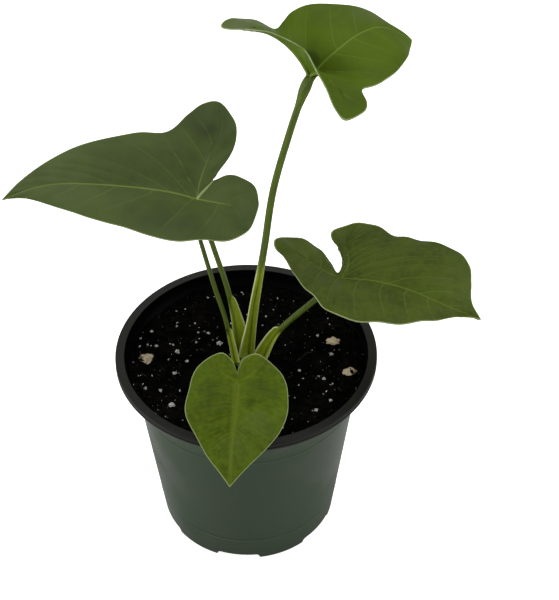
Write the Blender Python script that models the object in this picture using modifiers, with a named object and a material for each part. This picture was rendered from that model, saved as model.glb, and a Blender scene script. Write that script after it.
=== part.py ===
"""Potted philodendron: a young heart-leaved plant in a round nursery pot.

Metres, +Z up. The origin is the middle of the pot's flat base, on the surface
that it stands on. The front of the plant faces -Y.
"""
import math

import bmesh
import bpy
from mathutils import Euler, Matrix, Vector

MM = 0.001

# Driving dimensions
RIM_RADIUS = 0.054
POT_HEIGHT = 0.090
BASE_RADIUS = 0.0375
NECK_RADIUS = 0.0475
WALL = 0.0010
FLOOR = 0.0012
LIP_DROP = 0.0016
LIP_EDGE_ROUND = 0.0007
NECK_ROUND = 0.0024
BASE_ROUND = 0.0015
NECK_HEIGHT = POT_HEIGHT - WALL - NECK_ROUND
POT_STEPS = 60

NOTCH_COUNT = 6
NOTCH_SPAN = 0.020
NOTCH_HEIGHT = 0.0036
NOTCH_DEPTH = 0.0065
FIRST_NOTCH = math.radians(-98.0)
DRAIN_RADIUS = 0.0022

FIT = 0.0003
SOIL_DROP = 0.007
SOIL_TOP = POT_HEIGHT - SOIL_DROP
CROWN_SPOT = (0.0009, 0.0014)
CROWN_RADIUS = 0.0074
CROWN_RISE = 0.0010
CROWN_ROUND = 0.0010
CROWN_DEPTH = 0.0120
CROWN_FOOT_RADIUS = 0.0042

LEAF_THICKNESS = 0.0006
LEAF_ROWS = 4
CURVE_STEPS = 8
FRONT_STEPS = 10
LOBE_STEPS = 7
STEM_SIDES = 12
STEM_RINGS = 22
SHEATH_FLATNESS = 0.8
NECK_REACH = 0.0020

YOUNG_LEAF_LENGTH = 0.024
YOUNG_LEAF_RADIUS = 0.0021
YOUNG_LEAF_POINT = 0.0004
YOUNG_LEAF_GAP = 0.0010
GRAIN_SIDES = 1
GRAIN_FLATNESS = 0.8

# Leaf outlines in millimetres: (along the midrib, to the left of it, lift).
# Each leaf lies in its own frame with its origin where the petiole meets it.
LEAVES = {
    "left": {
        "spot": (-0.0186, 0.0252, 0.0670),
        "turn": (-14, -9, 192),
        "tip": (76, -6, -5),
        "midrib": [(12, -4, 0), (35, -8, 0), (58, -10, -1)],
        "sinus": (-7, -8, 1),
        "halves": [
            {"vein": [(-8, 3, 1), (-15, 6, 1)],
             "front": [(66, -5, -4), (54, 1, -3), (36, 12, 1), (24, 20, 4), (12, 25, 6)],
             "outer": [(2, 25, 6), (-8, 26, 7), (-17, 20, 5), (-25, 4, 0)],
             "inner": [(-25, -4, 1), (-20, -9, 2), (-14, -10, 2)]},
            {"vein": [(-5, -13, 3), (-10, -25, 6)],
             "front": [(68, -13, -2), (55, -21, 2), (40, -26, 5), (22, -29, 7), (9, -29, 7)],
             "outer": [(-1, -36, 10), (-8, -41, 11), (-15, -41, 11), (-20, -34, 9)],
             "inner": [(-20, -26, 7), (-17, -19, 5), (-12, -13, 3)]},
        ],
    },
    "top": {
        "spot": (0.0259, 0.0187, 0.1290),
        "turn": (0, 0, 43),
        "tip": (46, -9, -1),
        "midrib": [(4, -2, 5), (9, -4, 9), (20, -4, 11), (34, -4, 8)],
        "sinus": (-3, 1, 13),
        "halves": [
            {"vein": [(-1, 2, 5), (-3, 7, 11), (-4, 15, 13), (-4, 27, 11)],
             "front": [(44, -6, 2), (40, -2, 6), (37, 5, 9), (32, 13, 11), (23, 22, 11), (15, 25, 10)],
             "outer": [(10, 25, 8), (7, 27, 5), (6, 37, 4), (-2, 39, 7), (-11, 35, 11)],
             "inner": [(-14, 28, 14), (-12, 20, 16), (-8, 12, 17)]},
            {"vein": [(-1, -4, 5), (-4, -13, 7), (-6, -23, 5)],
             "front": [(42, -12, -1), (33, -18, 1), (23, -22, 2), (13, -24, 3)],
             "outer": [(2, -24, 5), (-2, -30, 4), (-6, -32, 3), (-14, -31, 3)],
             "inner": [(-14, -26, 5), (-12, -20, 8), (-8, -11, 11)]},
        ],
    },
    "right": {
        "spot": (0.0388, 0.0041, 0.0420),
        "turn": (0, -6, -38),
        "tip": (60, 7, -1),
        "midrib": [(14, 4, 0), (28, 6, 0), (44, 6, 0)],
        "sinus": (-3, 1, 0),
        "halves": [
            {"vein": [(-3, 8, 1), (-8, 17, 3)],
             "front": [(53, 12, 1), (48, 20, 2), (43, 27, 5), (33, 32, 6), (20, 31, 6)],
             "outer": [(6, 29, 5), (-5, 30, 6), (-14, 26, 5), (-18, 21, 4)],
             "inner": [(-17, 17, 3), (-9, 12, 2), (-4, 7, 1)]},
            {"vein": [(-10, 1, 0), (-23, 4, 0)],
             "front": [(51, 3, -1), (44, -4, -1), (33, -16, 2), (21, -23, 4), (12, -24, 4)],
             "outer": [(0, -19, 4), (-13, -12, 2), (-28, -1, 0), (-36, 3, 0)],
             "inner": [(-38, 7, 1), (-33, 11, 2), (-21, 11, 2), (-10, 6, 1)]},
        ],
    },
    "front": {
        "spot": (-0.0038, -0.0406, 0.0300),
        "turn": (0, 26, -94),
        "tip": (41, -1, -3),
        "midrib": [(10, 0, 0), (22, -1, -1), (32, -1, -2)],
        "sinus": (-3, 0, 0),
        "halves": [
            {"vein": [(-2, 4, 0), (-5, 8, 1)],
             "front": [(36, 3, -3), (31, 8, -1), (25, 14, 1), (17, 19, 3)],
             "outer": [(8, 20, 3), (-1, 18, 3), (-8, 12, 1)],
             "inner": [(-11, 7, 1), (-9, 2, 0)]},
            {"vein": [(-2, -4, 0), (-5, -8, 1)],
             "front": [(36, -5, -2), (30, -10, -1), (22, -15, 2), (14, -19, 3)],
             "outer": [(5, -18, 3), (-3, -16, 3), (-9, -11, 1)],
             "inner": [(-11, -6, 1), (-8, -2, 0)]},
        ],
    },
}

# Petioles: where each leaves the crown, the points that it passes, the share of
# its length that its sheath covers, and its half-widths. Heights start at the soil.
PETIOLES = {
    "left": {"base": (-0.0030, 0.0026), "route": [(-0.0060, 0.0085, 0.0270), (-0.0118, 0.0160, 0.0470)],
             "sheath": 0.42, "sheath_half": 0.0016, "half": 0.00105},
    "top": {"base": (0.0016, 0.0030), "route": [(0.0078, 0.0060, 0.0564), (0.0115, 0.0090, 0.0830),
                                                (0.0173, 0.0120, 0.1060), (0.0221, 0.0145, 0.1235)],
            "sheath": 0.42, "sheath_half": 0.0021, "half": 0.00135},
    "right": {"base": (0.0066, 0.0018), "route": [(0.0131, 0.0020, 0.0150), (0.0272, 0.0030, 0.0305)],
              "sheath": 0.35, "sheath_half": 0.0016, "half": 0.00100},
    "front": {"base": (0.0010, -0.0024), "route": [(0.0000, -0.0120, 0.0155), (-0.0020, -0.0270, 0.0255)],
              "sheath": 0.30, "sheath_half": 0.0015, "half": 0.00090},
}
YOUNG_STALK = {"base": (-0.0046, -0.0008), "route": [(-0.0080, 0.0056, 0.0180), (-0.0124, 0.0115, 0.0320)],
               "sheath": 0.60, "sheath_half": 0.0013, "half": 0.00095, "tip": (-0.0185, 0.0225, 0.0515)}
YOUNG_LEAF_AIM = (-0.0055, 0.0195, 0.0135)

# Loose bits lie on the soil at an angle round it and a share of its radius.
# Chips: (angle, share), (length, width, thickness), turn in degrees
CHIPS = {
    "bark_chip": ((176, 0.910), (0.0058, 0.0036, 0.0016), 15),
    "wood_chip_1": ((16, 0.835), (0.0050, 0.0028, 0.0012), -20),
    "wood_chip_2": ((-11, 0.940), (0.0044, 0.0026, 0.0012), 30),
}
# Larger perlite grains: angle, share, radius in millimetres
GRAINS = [
    (168, 0.64, 0.9), (178, 0.54, 0.7), (-169, 0.66, 0.8), (-142, 0.85, 1.2),
    (-160, 0.96, 0.7), (-156, 0.85, 0.8), (165, 0.85, 0.7), (135, 0.34, 1.1),
    (132, 0.52, 0.7), (26, 0.74, 0.7), (5, 0.78, 0.9), (-13, 0.49, 0.6),
    (-19, 0.73, 0.7), (-35, 0.90, 0.7), (-46, 0.87, 0.8), (155, 0.96, 0.6),
]


# --- materials ---------------------------------------------------------------

def paint(name, colour, roughness):
    """A plain Principled material."""
    material = bpy.data.materials.new(name)
    material.use_nodes = True
    shader = material.node_tree.nodes["Principled BSDF"]
    shader.inputs["Base Color"].default_value = (*colour, 1.0)
    shader.inputs["Roughness"].default_value = roughness
    shader.inputs["Metallic"].default_value = 0.0
    return material


# --- helpers -----------------------------------------------------------------

def new_collection(name):
    """A collection of this name in the scene."""
    collection = bpy.data.collections.new(name)
    bpy.context.scene.collection.children.link(collection)
    return collection


def add_object(name, mesh, collection, material=None):
    """Link a mesh object, with its material."""
    thing = bpy.data.objects.new(name, mesh)
    collection.objects.link(thing)
    if material:
        mesh.materials.append(material)
    return thing


def mesh_from(name, work):
    """Turn a bmesh into a mesh with smooth shading."""
    mesh = bpy.data.meshes.new(name)
    work.to_mesh(mesh)
    work.free()
    mesh.shade_smooth()
    return mesh


def make_cutter(thing):
    """Keep an object out of the part: it only cuts."""
    thing.hide_render = True
    thing.display_type = "WIRE"
    return thing


def cut(thing, cutter):
    """Take the cutter away from the object."""
    modifier = thing.modifiers.new("Cut " + cutter.name, "BOOLEAN")
    modifier.operation = "DIFFERENCE"
    modifier.solver = "EXACT"
    modifier.object = cutter


def arc(centre_r, centre_z, radius, start, end, steps):
    """Points of an arc in the (radius, height) plane, angles in degrees."""
    points = []
    for i in range(steps + 1):
        angle = math.radians(start + (end - start) * i / steps)
        points.append((centre_r + radius * math.cos(angle), centre_z + radius * math.sin(angle)))
    return points


def turned(name, profile, collection, material=None, steps=POT_STEPS):
    """A solid of revolution about Z from (radius, height) points."""
    work = bmesh.new()
    corners = [work.verts.new((r, 0.0, z)) for r, z in profile]
    for first, second in zip(corners, corners[1:]):
        work.edges.new((first, second))
    thing = add_object(name, mesh_from(name, work), collection, material)
    screw = thing.modifiers.new("Turn", "SCREW")
    screw.axis = "Z"
    screw.steps = steps
    screw.render_steps = steps
    screw.use_merge_vertices = True
    screw.merge_threshold = 0.00001
    screw.use_smooth_shade = True
    return thing


def curve_through(points):
    """Catmull-Rom curve through the points, evenly divided in each span."""
    padded = [points[0] * 2 - points[1]] + points + [points[-1] * 2 - points[-2]]
    path = []
    for before, start, end, after in zip(padded, padded[1:], padded[2:], padded[3:]):
        for i in range(CURVE_STEPS):
            t = i / CURVE_STEPS
            path.append(0.5 * (2 * start + (end - before) * t
                               + (2 * before - 5 * start + 4 * end - after) * t * t
                               + (3 * start - before - 3 * end + after) * t ** 3))
    path.append(points[-1].copy())
    return path


def evenly(path, count):
    """count + 1 points spaced evenly by length along the path."""
    reach = [0.0]
    for first, second in zip(path, path[1:]):
        reach.append(reach[-1] + (second - first).length)
    spots = []
    span = 0
    for i in range(count + 1):
        target = reach[-1] * i / count
        while span < len(path) - 2 and reach[span + 1] < target:
            span += 1
        length = reach[span + 1] - reach[span]
        share = (target - reach[span]) / length if length > 0 else 0.0
        spots.append(path[span].lerp(path[span + 1], min(1.0, share)))
    return spots


# --- pot ---------------------------------------------------------------------

def outer_profile():
    """Outside of the pot, from the middle of the top down to the base."""
    lip_z = POT_HEIGHT - LIP_EDGE_ROUND
    points = [(0.0, POT_HEIGHT)]
    points += arc(RIM_RADIUS - LIP_EDGE_ROUND, lip_z, LIP_EDGE_ROUND, 90, 0, 4)
    points += [(RIM_RADIUS, POT_HEIGHT - LIP_DROP), (RIM_RADIUS - WALL, POT_HEIGHT - LIP_DROP)]
    points.append((RIM_RADIUS - LIP_EDGE_ROUND - WALL, NECK_HEIGHT + NECK_ROUND))
    points += arc(NECK_RADIUS + NECK_ROUND, NECK_HEIGHT, NECK_ROUND, 90, 180, 5)
    points += arc(BASE_RADIUS - BASE_ROUND, BASE_ROUND, BASE_ROUND, 0, -90, 4)
    points.append((0.0, 0.0))
    return points


def inside_radius(height):
    """Radius of the pot's inner wall at a height, below the neck."""
    rise = (height - BASE_ROUND) / (NECK_HEIGHT - BASE_ROUND)
    return BASE_RADIUS - WALL + (NECK_RADIUS - BASE_RADIUS) * rise


def inner_profile(gap, top):
    """Inside of the pot, drawn in by a gap, from the top down to the floor."""
    floor_z = FLOOR + gap
    low_radius = BASE_RADIUS - WALL - gap
    points = [(0.0, top)]
    if top > POT_HEIGHT:
        mouth = NECK_RADIUS + NECK_ROUND
        points.append((mouth, top))
        points += arc(mouth, NECK_HEIGHT, NECK_ROUND + WALL, 90, 180, 6)
    else:
        points.append((inside_radius(top) - gap, top))
    points += arc(low_radius - BASE_ROUND, floor_z + BASE_ROUND, BASE_ROUND, 0, -90, 3)
    points.append((0.0, floor_z))
    return points


def notch_block(name, grow, collection):
    """Six lying cylinders round the base, whose tops arch over the notches."""
    radius = ((NOTCH_SPAN / 2) ** 2 + NOTCH_HEIGHT ** 2) / (2 * NOTCH_HEIGHT)
    inner_end = BASE_RADIUS - NOTCH_DEPTH - grow
    outer_end = RIM_RADIUS
    work = bmesh.new()
    for i in range(NOTCH_COUNT):
        angle = FIRST_NOTCH + math.tau * i / NOTCH_COUNT
        place = (Matrix.Rotation(angle, 4, "Z")
                 @ Matrix.Translation(((inner_end + outer_end) / 2, 0.0, NOTCH_HEIGHT - radius))
                 @ Matrix.Rotation(math.pi / 2, 4, "Y"))
        bmesh.ops.create_cone(work, cap_ends=True, segments=56, radius1=radius + grow,
                              radius2=radius + grow, depth=outer_end - inner_end, matrix=place)
    return make_cutter(add_object(name, mesh_from(name, work), collection))


def drain_holes(collection):
    """A round hole up through the roof of each notch."""
    work = bmesh.new()
    reach = BASE_RADIUS - NOTCH_DEPTH / 2 - FIT
    for i in range(NOTCH_COUNT):
        angle = FIRST_NOTCH + math.tau * i / NOTCH_COUNT
        place = Matrix.Translation((reach * math.cos(angle), reach * math.sin(angle), NOTCH_HEIGHT))
        bmesh.ops.create_cone(work, cap_ends=True, segments=16, radius1=DRAIN_RADIUS,
                              radius2=DRAIN_RADIUS, depth=2 * NOTCH_HEIGHT, matrix=place)
    return make_cutter(add_object("drain_holes", mesh_from("drain_holes", work), collection))


def make_pot(parts, cutters):
    """Thin nursery pot: turned wall, flat lip, six notched and drained feet."""
    material = paint("pot plastic", (0.060, 0.085, 0.055), 0.45)
    pot = turned("nursery_pot", outer_profile(), parts, material)
    cavity = make_cutter(turned("cavity", inner_profile(0.0, POT_HEIGHT + 0.01), cutters))
    cut(cavity, notch_block("notch_pads", WALL, cutters))
    cut(pot, cavity)
    cut(pot, notch_block("notches", 0.0, cutters))
    cut(pot, drain_holes(cutters))


# --- soil --------------------------------------------------------------------

def crown_profile(gap):
    """Short stem that the petioles grow from, rounded on top, root end below."""
    radius = CROWN_RADIUS + gap
    top = SOIL_TOP + CROWN_RISE
    foot = SOIL_TOP - CROWN_DEPTH - gap
    points = [(0.0, top + gap)]
    points += arc(radius - CROWN_ROUND, top + gap - CROWN_ROUND, CROWN_ROUND, 90, 0, 4)
    points += [(radius, SOIL_TOP - CROWN_RISE), (CROWN_FOOT_RADIUS + gap, foot), (0.0, foot)]
    return points


def make_soil(parts, cutters):
    """Potting soil that fills the pot to just under the rim."""
    material = paint("peat soil", (0.010, 0.008, 0.006), 0.95)
    soil = turned("potting_soil", inner_profile(FIT, SOIL_TOP), parts, material)
    cut(soil, notch_block("soil_notches", WALL + FIT, cutters))
    well = make_cutter(turned("crown_well", crown_profile(FIT), cutters, steps=24))
    well.location = (*CROWN_SPOT, 0.0)
    cut(soil, well)


def make_crown(parts):
    """The plant's short stem, set in the soil."""
    material = paint("crown", (0.120, 0.160, 0.040), 0.55)
    crown = turned("crown", crown_profile(0.0), parts, material, steps=24)
    crown.location = (*CROWN_SPOT, 0.0)


# --- leaves ------------------------------------------------------------------

def leaf_half(leaf, half):
    """Pairs of points, on the rib and on the margin, from the tip to the sinus."""
    tip = Vector(leaf["tip"]) * MM
    sinus = Vector(leaf["sinus"]) * MM
    sections = [[Vector(p) * MM for p in half[key]] for key in ("front", "outer", "inner")]
    margin = curve_through([tip] + sections[0] + sections[1] + sections[2] + [sinus])
    shoulder = CURVE_STEPS * len(sections[0])
    lobe = shoulder + CURVE_STEPS * len(sections[1])
    hub = Vector((0.0, 0.0, 0.0))
    midrib = curve_through([tip] + [Vector(p) * MM for p in reversed(leaf["midrib"])] + [hub])
    vein = curve_through([hub] + [Vector(p) * MM for p in half["vein"]])
    ribs = evenly(midrib, FRONT_STEPS) + evenly(vein, LOBE_STEPS)[1:] + evenly(vein[::-1], LOBE_STEPS)[1:]
    edges = (evenly(margin[:shoulder + 1], FRONT_STEPS) + evenly(margin[shoulder:lobe + 1], LOBE_STEPS)[1:]
             + evenly(margin[lobe:], LOBE_STEPS)[1:])
    return list(zip(ribs, edges))


def blade_mesh(name, leaf):
    """Open sheet from the ribs out to the margin, all round the leaf."""
    left, right = (leaf_half(leaf, half) for half in leaf["halves"])
    columns = left + right[-2::-1]
    work = bmesh.new()
    grid = bmesh.ops.create_grid(work, x_segments=len(columns) - 1, y_segments=LEAF_ROWS, size=0.5)
    for corner in grid["verts"]:
        column = columns[round((corner.co.x + 0.5) * (len(columns) - 1))]
        share = corner.co.y + 0.5
        corner.co = column[0].lerp(column[1], share)
    bmesh.ops.remove_doubles(work, verts=work.verts, dist=0.00001)
    return mesh_from(name, work)


def make_leaf(key, plant, parts, material):
    """One heart-shaped blade, placed and turned at the top of its petiole."""
    leaf = LEAVES[key]
    name = "leaf_" + key
    blade = add_object(name, blade_mesh(name, leaf), parts, material)
    blade.parent = plant
    blade.location = leaf["spot"]
    blade.rotation_euler = [math.radians(angle) for angle in leaf["turn"]]
    solid = blade.modifiers.new("Thickness", "SOLIDIFY")
    solid.thickness = LEAF_THICKNESS
    solid.offset = 0.0


# --- petioles ----------------------------------------------------------------

def stem_mesh(name, path, halves, last_turn=None):
    """Loft from a wide, channelled sheath to a round stalk along the path."""
    work = bmesh.new()
    rings = []
    side = Vector((1.0, 0.0, 0.0))
    for i, spot in enumerate(path):
        ahead = path[min(i + 1, len(path) - 1)] - path[max(i - 1, 0)]
        if i == 0:
            ahead = Vector((0.0, 0.0, 1.0))
        if i == len(path) - 1 and last_turn is not None:
            ahead = last_turn
        ahead = ahead.normalized()
        side = (side - ahead * side.dot(ahead)).normalized()
        face = ahead.cross(side)
        wide, deep = halves[i]
        ring = []
        for j in range(STEM_SIDES):
            angle = math.tau * j / STEM_SIDES
            corner = spot + side * wide * math.cos(angle) + face * deep * math.sin(angle)
            ring.append(work.verts.new(corner))
        rings.append(ring)
    for lower, upper in zip(rings, rings[1:]):
        for j in range(STEM_SIDES):
            k = (j + 1) % STEM_SIDES
            work.faces.new((lower[j], lower[k], upper[k], upper[j]))
    work.faces.new(rings[0][::-1])
    work.faces.new(rings[-1])
    return mesh_from(name, work)


def stem_halves(plan):
    """Half-width and half-depth of each ring: sheath first, then stalk."""
    halves = []
    for i in range(STEM_RINGS + 1):
        share = i / STEM_RINGS
        blend = min(1.0, share / plan["sheath"])
        ease = blend * blend * (3 - 2 * blend)
        wide = plan["sheath_half"] + (plan["half"] - plan["sheath_half"]) * ease
        thick = plan["sheath_half"] * SHEATH_FLATNESS
        deep = thick + (plan["half"] - thick) * ease
        halves.append((wide, deep))
    return halves


def crown_seat(plan):
    """Where a petiole stands, just clear of the crown's top."""
    return Vector((*plan["base"], CROWN_RISE + FIT))


def make_petiole(key, plant, parts, material):
    """A petiole from the crown to just under its leaf."""
    plan = PETIOLES[key]
    leaf = LEAVES[key]
    turn = Euler([math.radians(angle) for angle in leaf["turn"]])
    normal = turn.to_matrix() @ Vector((0.0, 0.0, 1.0))
    end = Vector(leaf["spot"]) - normal * (LEAF_THICKNESS / 2 + FIT)
    points = [crown_seat(plan)] + [Vector(p) for p in plan["route"]] + [end - normal * NECK_REACH, end]
    path = evenly(curve_through(points), STEM_RINGS)
    name = "petiole_" + key
    add_object(name, stem_mesh(name, path, stem_halves(plan), normal), parts, material).parent = plant


def make_young_shoot(plant, parts, material):
    """A stalk that carries the youngest leaf, still rolled into a spear."""
    tip = Vector(YOUNG_STALK["tip"])
    points = [crown_seat(YOUNG_STALK)] + [Vector(p) for p in YOUNG_STALK["route"]] + [tip]
    path = evenly(curve_through(points), STEM_RINGS)
    stalk = stem_mesh("petiole_young", path, stem_halves(YOUNG_STALK))
    add_object("petiole_young", stalk, parts, material).parent = plant
    aim = Vector(YOUNG_LEAF_AIM).normalized()
    start = tip + aim * YOUNG_LEAF_GAP
    spear = []
    halves = []
    for i in range(STEM_RINGS + 1):
        share = i / STEM_RINGS
        swell = math.sqrt(math.sin(math.pi * share))
        radius = YOUNG_LEAF_POINT + (YOUNG_LEAF_RADIUS - YOUNG_LEAF_POINT) * swell
        spear.append(start + aim * YOUNG_LEAF_LENGTH * share)
        halves.append((radius, radius))
    add_object("leaf_young", stem_mesh("leaf_young", spear, halves, aim), parts, material).parent = plant


# --- loose bits --------------------------------------------------------------

def soil_spot(angle, share):
    """A place on the soil: angle in degrees round it, share of its radius."""
    reach = share * (inside_radius(SOIL_TOP) - FIT)
    return reach * math.cos(math.radians(angle)), reach * math.sin(math.radians(angle))


def make_chip(name, parts, material):
    """A flat chip of bark or wood lying on the soil."""
    place, size, turn = CHIPS[name]
    work = bmesh.new()
    bmesh.ops.create_cube(work, size=1.0, matrix=Matrix.Diagonal((*size, 1.0)))
    chip = add_object(name, mesh_from(name, work), parts, material)
    chip.location = (*soil_spot(*place), SOIL_TOP + FIT + size[2] / 2)
    chip.rotation_euler[2] = math.radians(turn)
    bevel = chip.modifiers.new("Worn edges", "BEVEL")
    bevel.width = size[2] / 4
    bevel.segments = 2


def make_grain(number, parts, material):
    """One larger perlite grain lying on the soil."""
    angle, share, size = GRAINS[number]
    radius = size * MM
    work = bmesh.new()
    bmesh.ops.create_icosphere(work, subdivisions=GRAIN_SIDES, radius=radius)
    for corner in work.verts:
        corner.co.z *= GRAIN_FLATNESS
    name = f"perlite_{number + 1:02d}"
    grain = add_object(name, mesh_from(name, work), parts, material)
    grain.location = (*soil_spot(angle, share), SOIL_TOP + FIT + radius * GRAIN_FLATNESS)
    grain.rotation_euler[2] = number


# --- the whole ---------------------------------------------------------------

def main():
    for thing in list(bpy.data.objects):
        bpy.data.objects.remove(thing, do_unlink=True)
    parts = new_collection("potted_philodendron")
    cutters = new_collection("cutters")
    make_pot(parts, cutters)
    make_soil(parts, cutters)
    make_crown(parts)
    blade = paint("leaf blade", (0.075, 0.110, 0.035), 0.45)
    stalk = paint("petiole", (0.120, 0.170, 0.045), 0.45)
    plant = bpy.data.objects.new("plant", None)
    plant.location = (0.0, 0.0, SOIL_TOP)
    parts.objects.link(plant)
    for key in LEAVES:
        make_leaf(key, plant, parts, blade)
    for key in PETIOLES:
        make_petiole(key, plant, parts, stalk)
    make_young_shoot(plant, parts, stalk)
    wood = paint("bark", (0.150, 0.130, 0.080), 0.85)
    for name in CHIPS:
        make_chip(name, parts, wood)
    perlite = paint("perlite", (0.600, 0.600, 0.570), 0.85)
    for number in range(len(GRAINS)):
        make_grain(number, parts, perlite)


main()
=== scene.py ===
import math

import bmesh
import bpy
from mathutils import Euler, Matrix, Vector, noise
from mathutils.bvhtree import BVHTree


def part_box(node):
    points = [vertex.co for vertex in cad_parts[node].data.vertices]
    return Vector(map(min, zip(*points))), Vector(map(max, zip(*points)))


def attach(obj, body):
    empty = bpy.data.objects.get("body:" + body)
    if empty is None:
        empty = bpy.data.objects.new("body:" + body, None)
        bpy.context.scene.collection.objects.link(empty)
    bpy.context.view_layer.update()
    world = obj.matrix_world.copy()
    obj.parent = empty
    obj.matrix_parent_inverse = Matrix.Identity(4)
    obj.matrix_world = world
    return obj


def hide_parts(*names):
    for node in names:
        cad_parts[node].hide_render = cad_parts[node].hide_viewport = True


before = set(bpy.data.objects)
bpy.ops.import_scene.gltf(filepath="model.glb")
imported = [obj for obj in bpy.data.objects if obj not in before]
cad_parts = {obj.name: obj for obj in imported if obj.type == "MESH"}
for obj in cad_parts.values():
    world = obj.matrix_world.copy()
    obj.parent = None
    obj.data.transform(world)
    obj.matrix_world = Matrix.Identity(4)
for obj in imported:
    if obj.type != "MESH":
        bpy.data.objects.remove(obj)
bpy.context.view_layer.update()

bl_info = {
    "name": "Potted Philodendron",
    "version": (1, 0, 0),
    "blender": (4, 5, 0),
    "location": "View3D > Sidebar > Philodendron",
    "description": "Builds a young heart-leaved philodendron in a round nursery pot",
    "category": "Add Mesh",
}

MM = 0.001
UP = Vector((0.0, 0.0, 1.0))

# --- sizes taken from the frame ------------------------------------------------

POT_HIGH = Vector(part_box("nursery_pot")[1])
SOIL_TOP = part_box("potting_soil")[1][2]
CROWN_LOW, CROWN_HIGH = (Vector(corner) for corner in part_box("crown"))
CROWN_MIDDLE = (CROWN_LOW + CROWN_HIGH) / 2

# --- plant data ----------------------------------------------------------------

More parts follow.
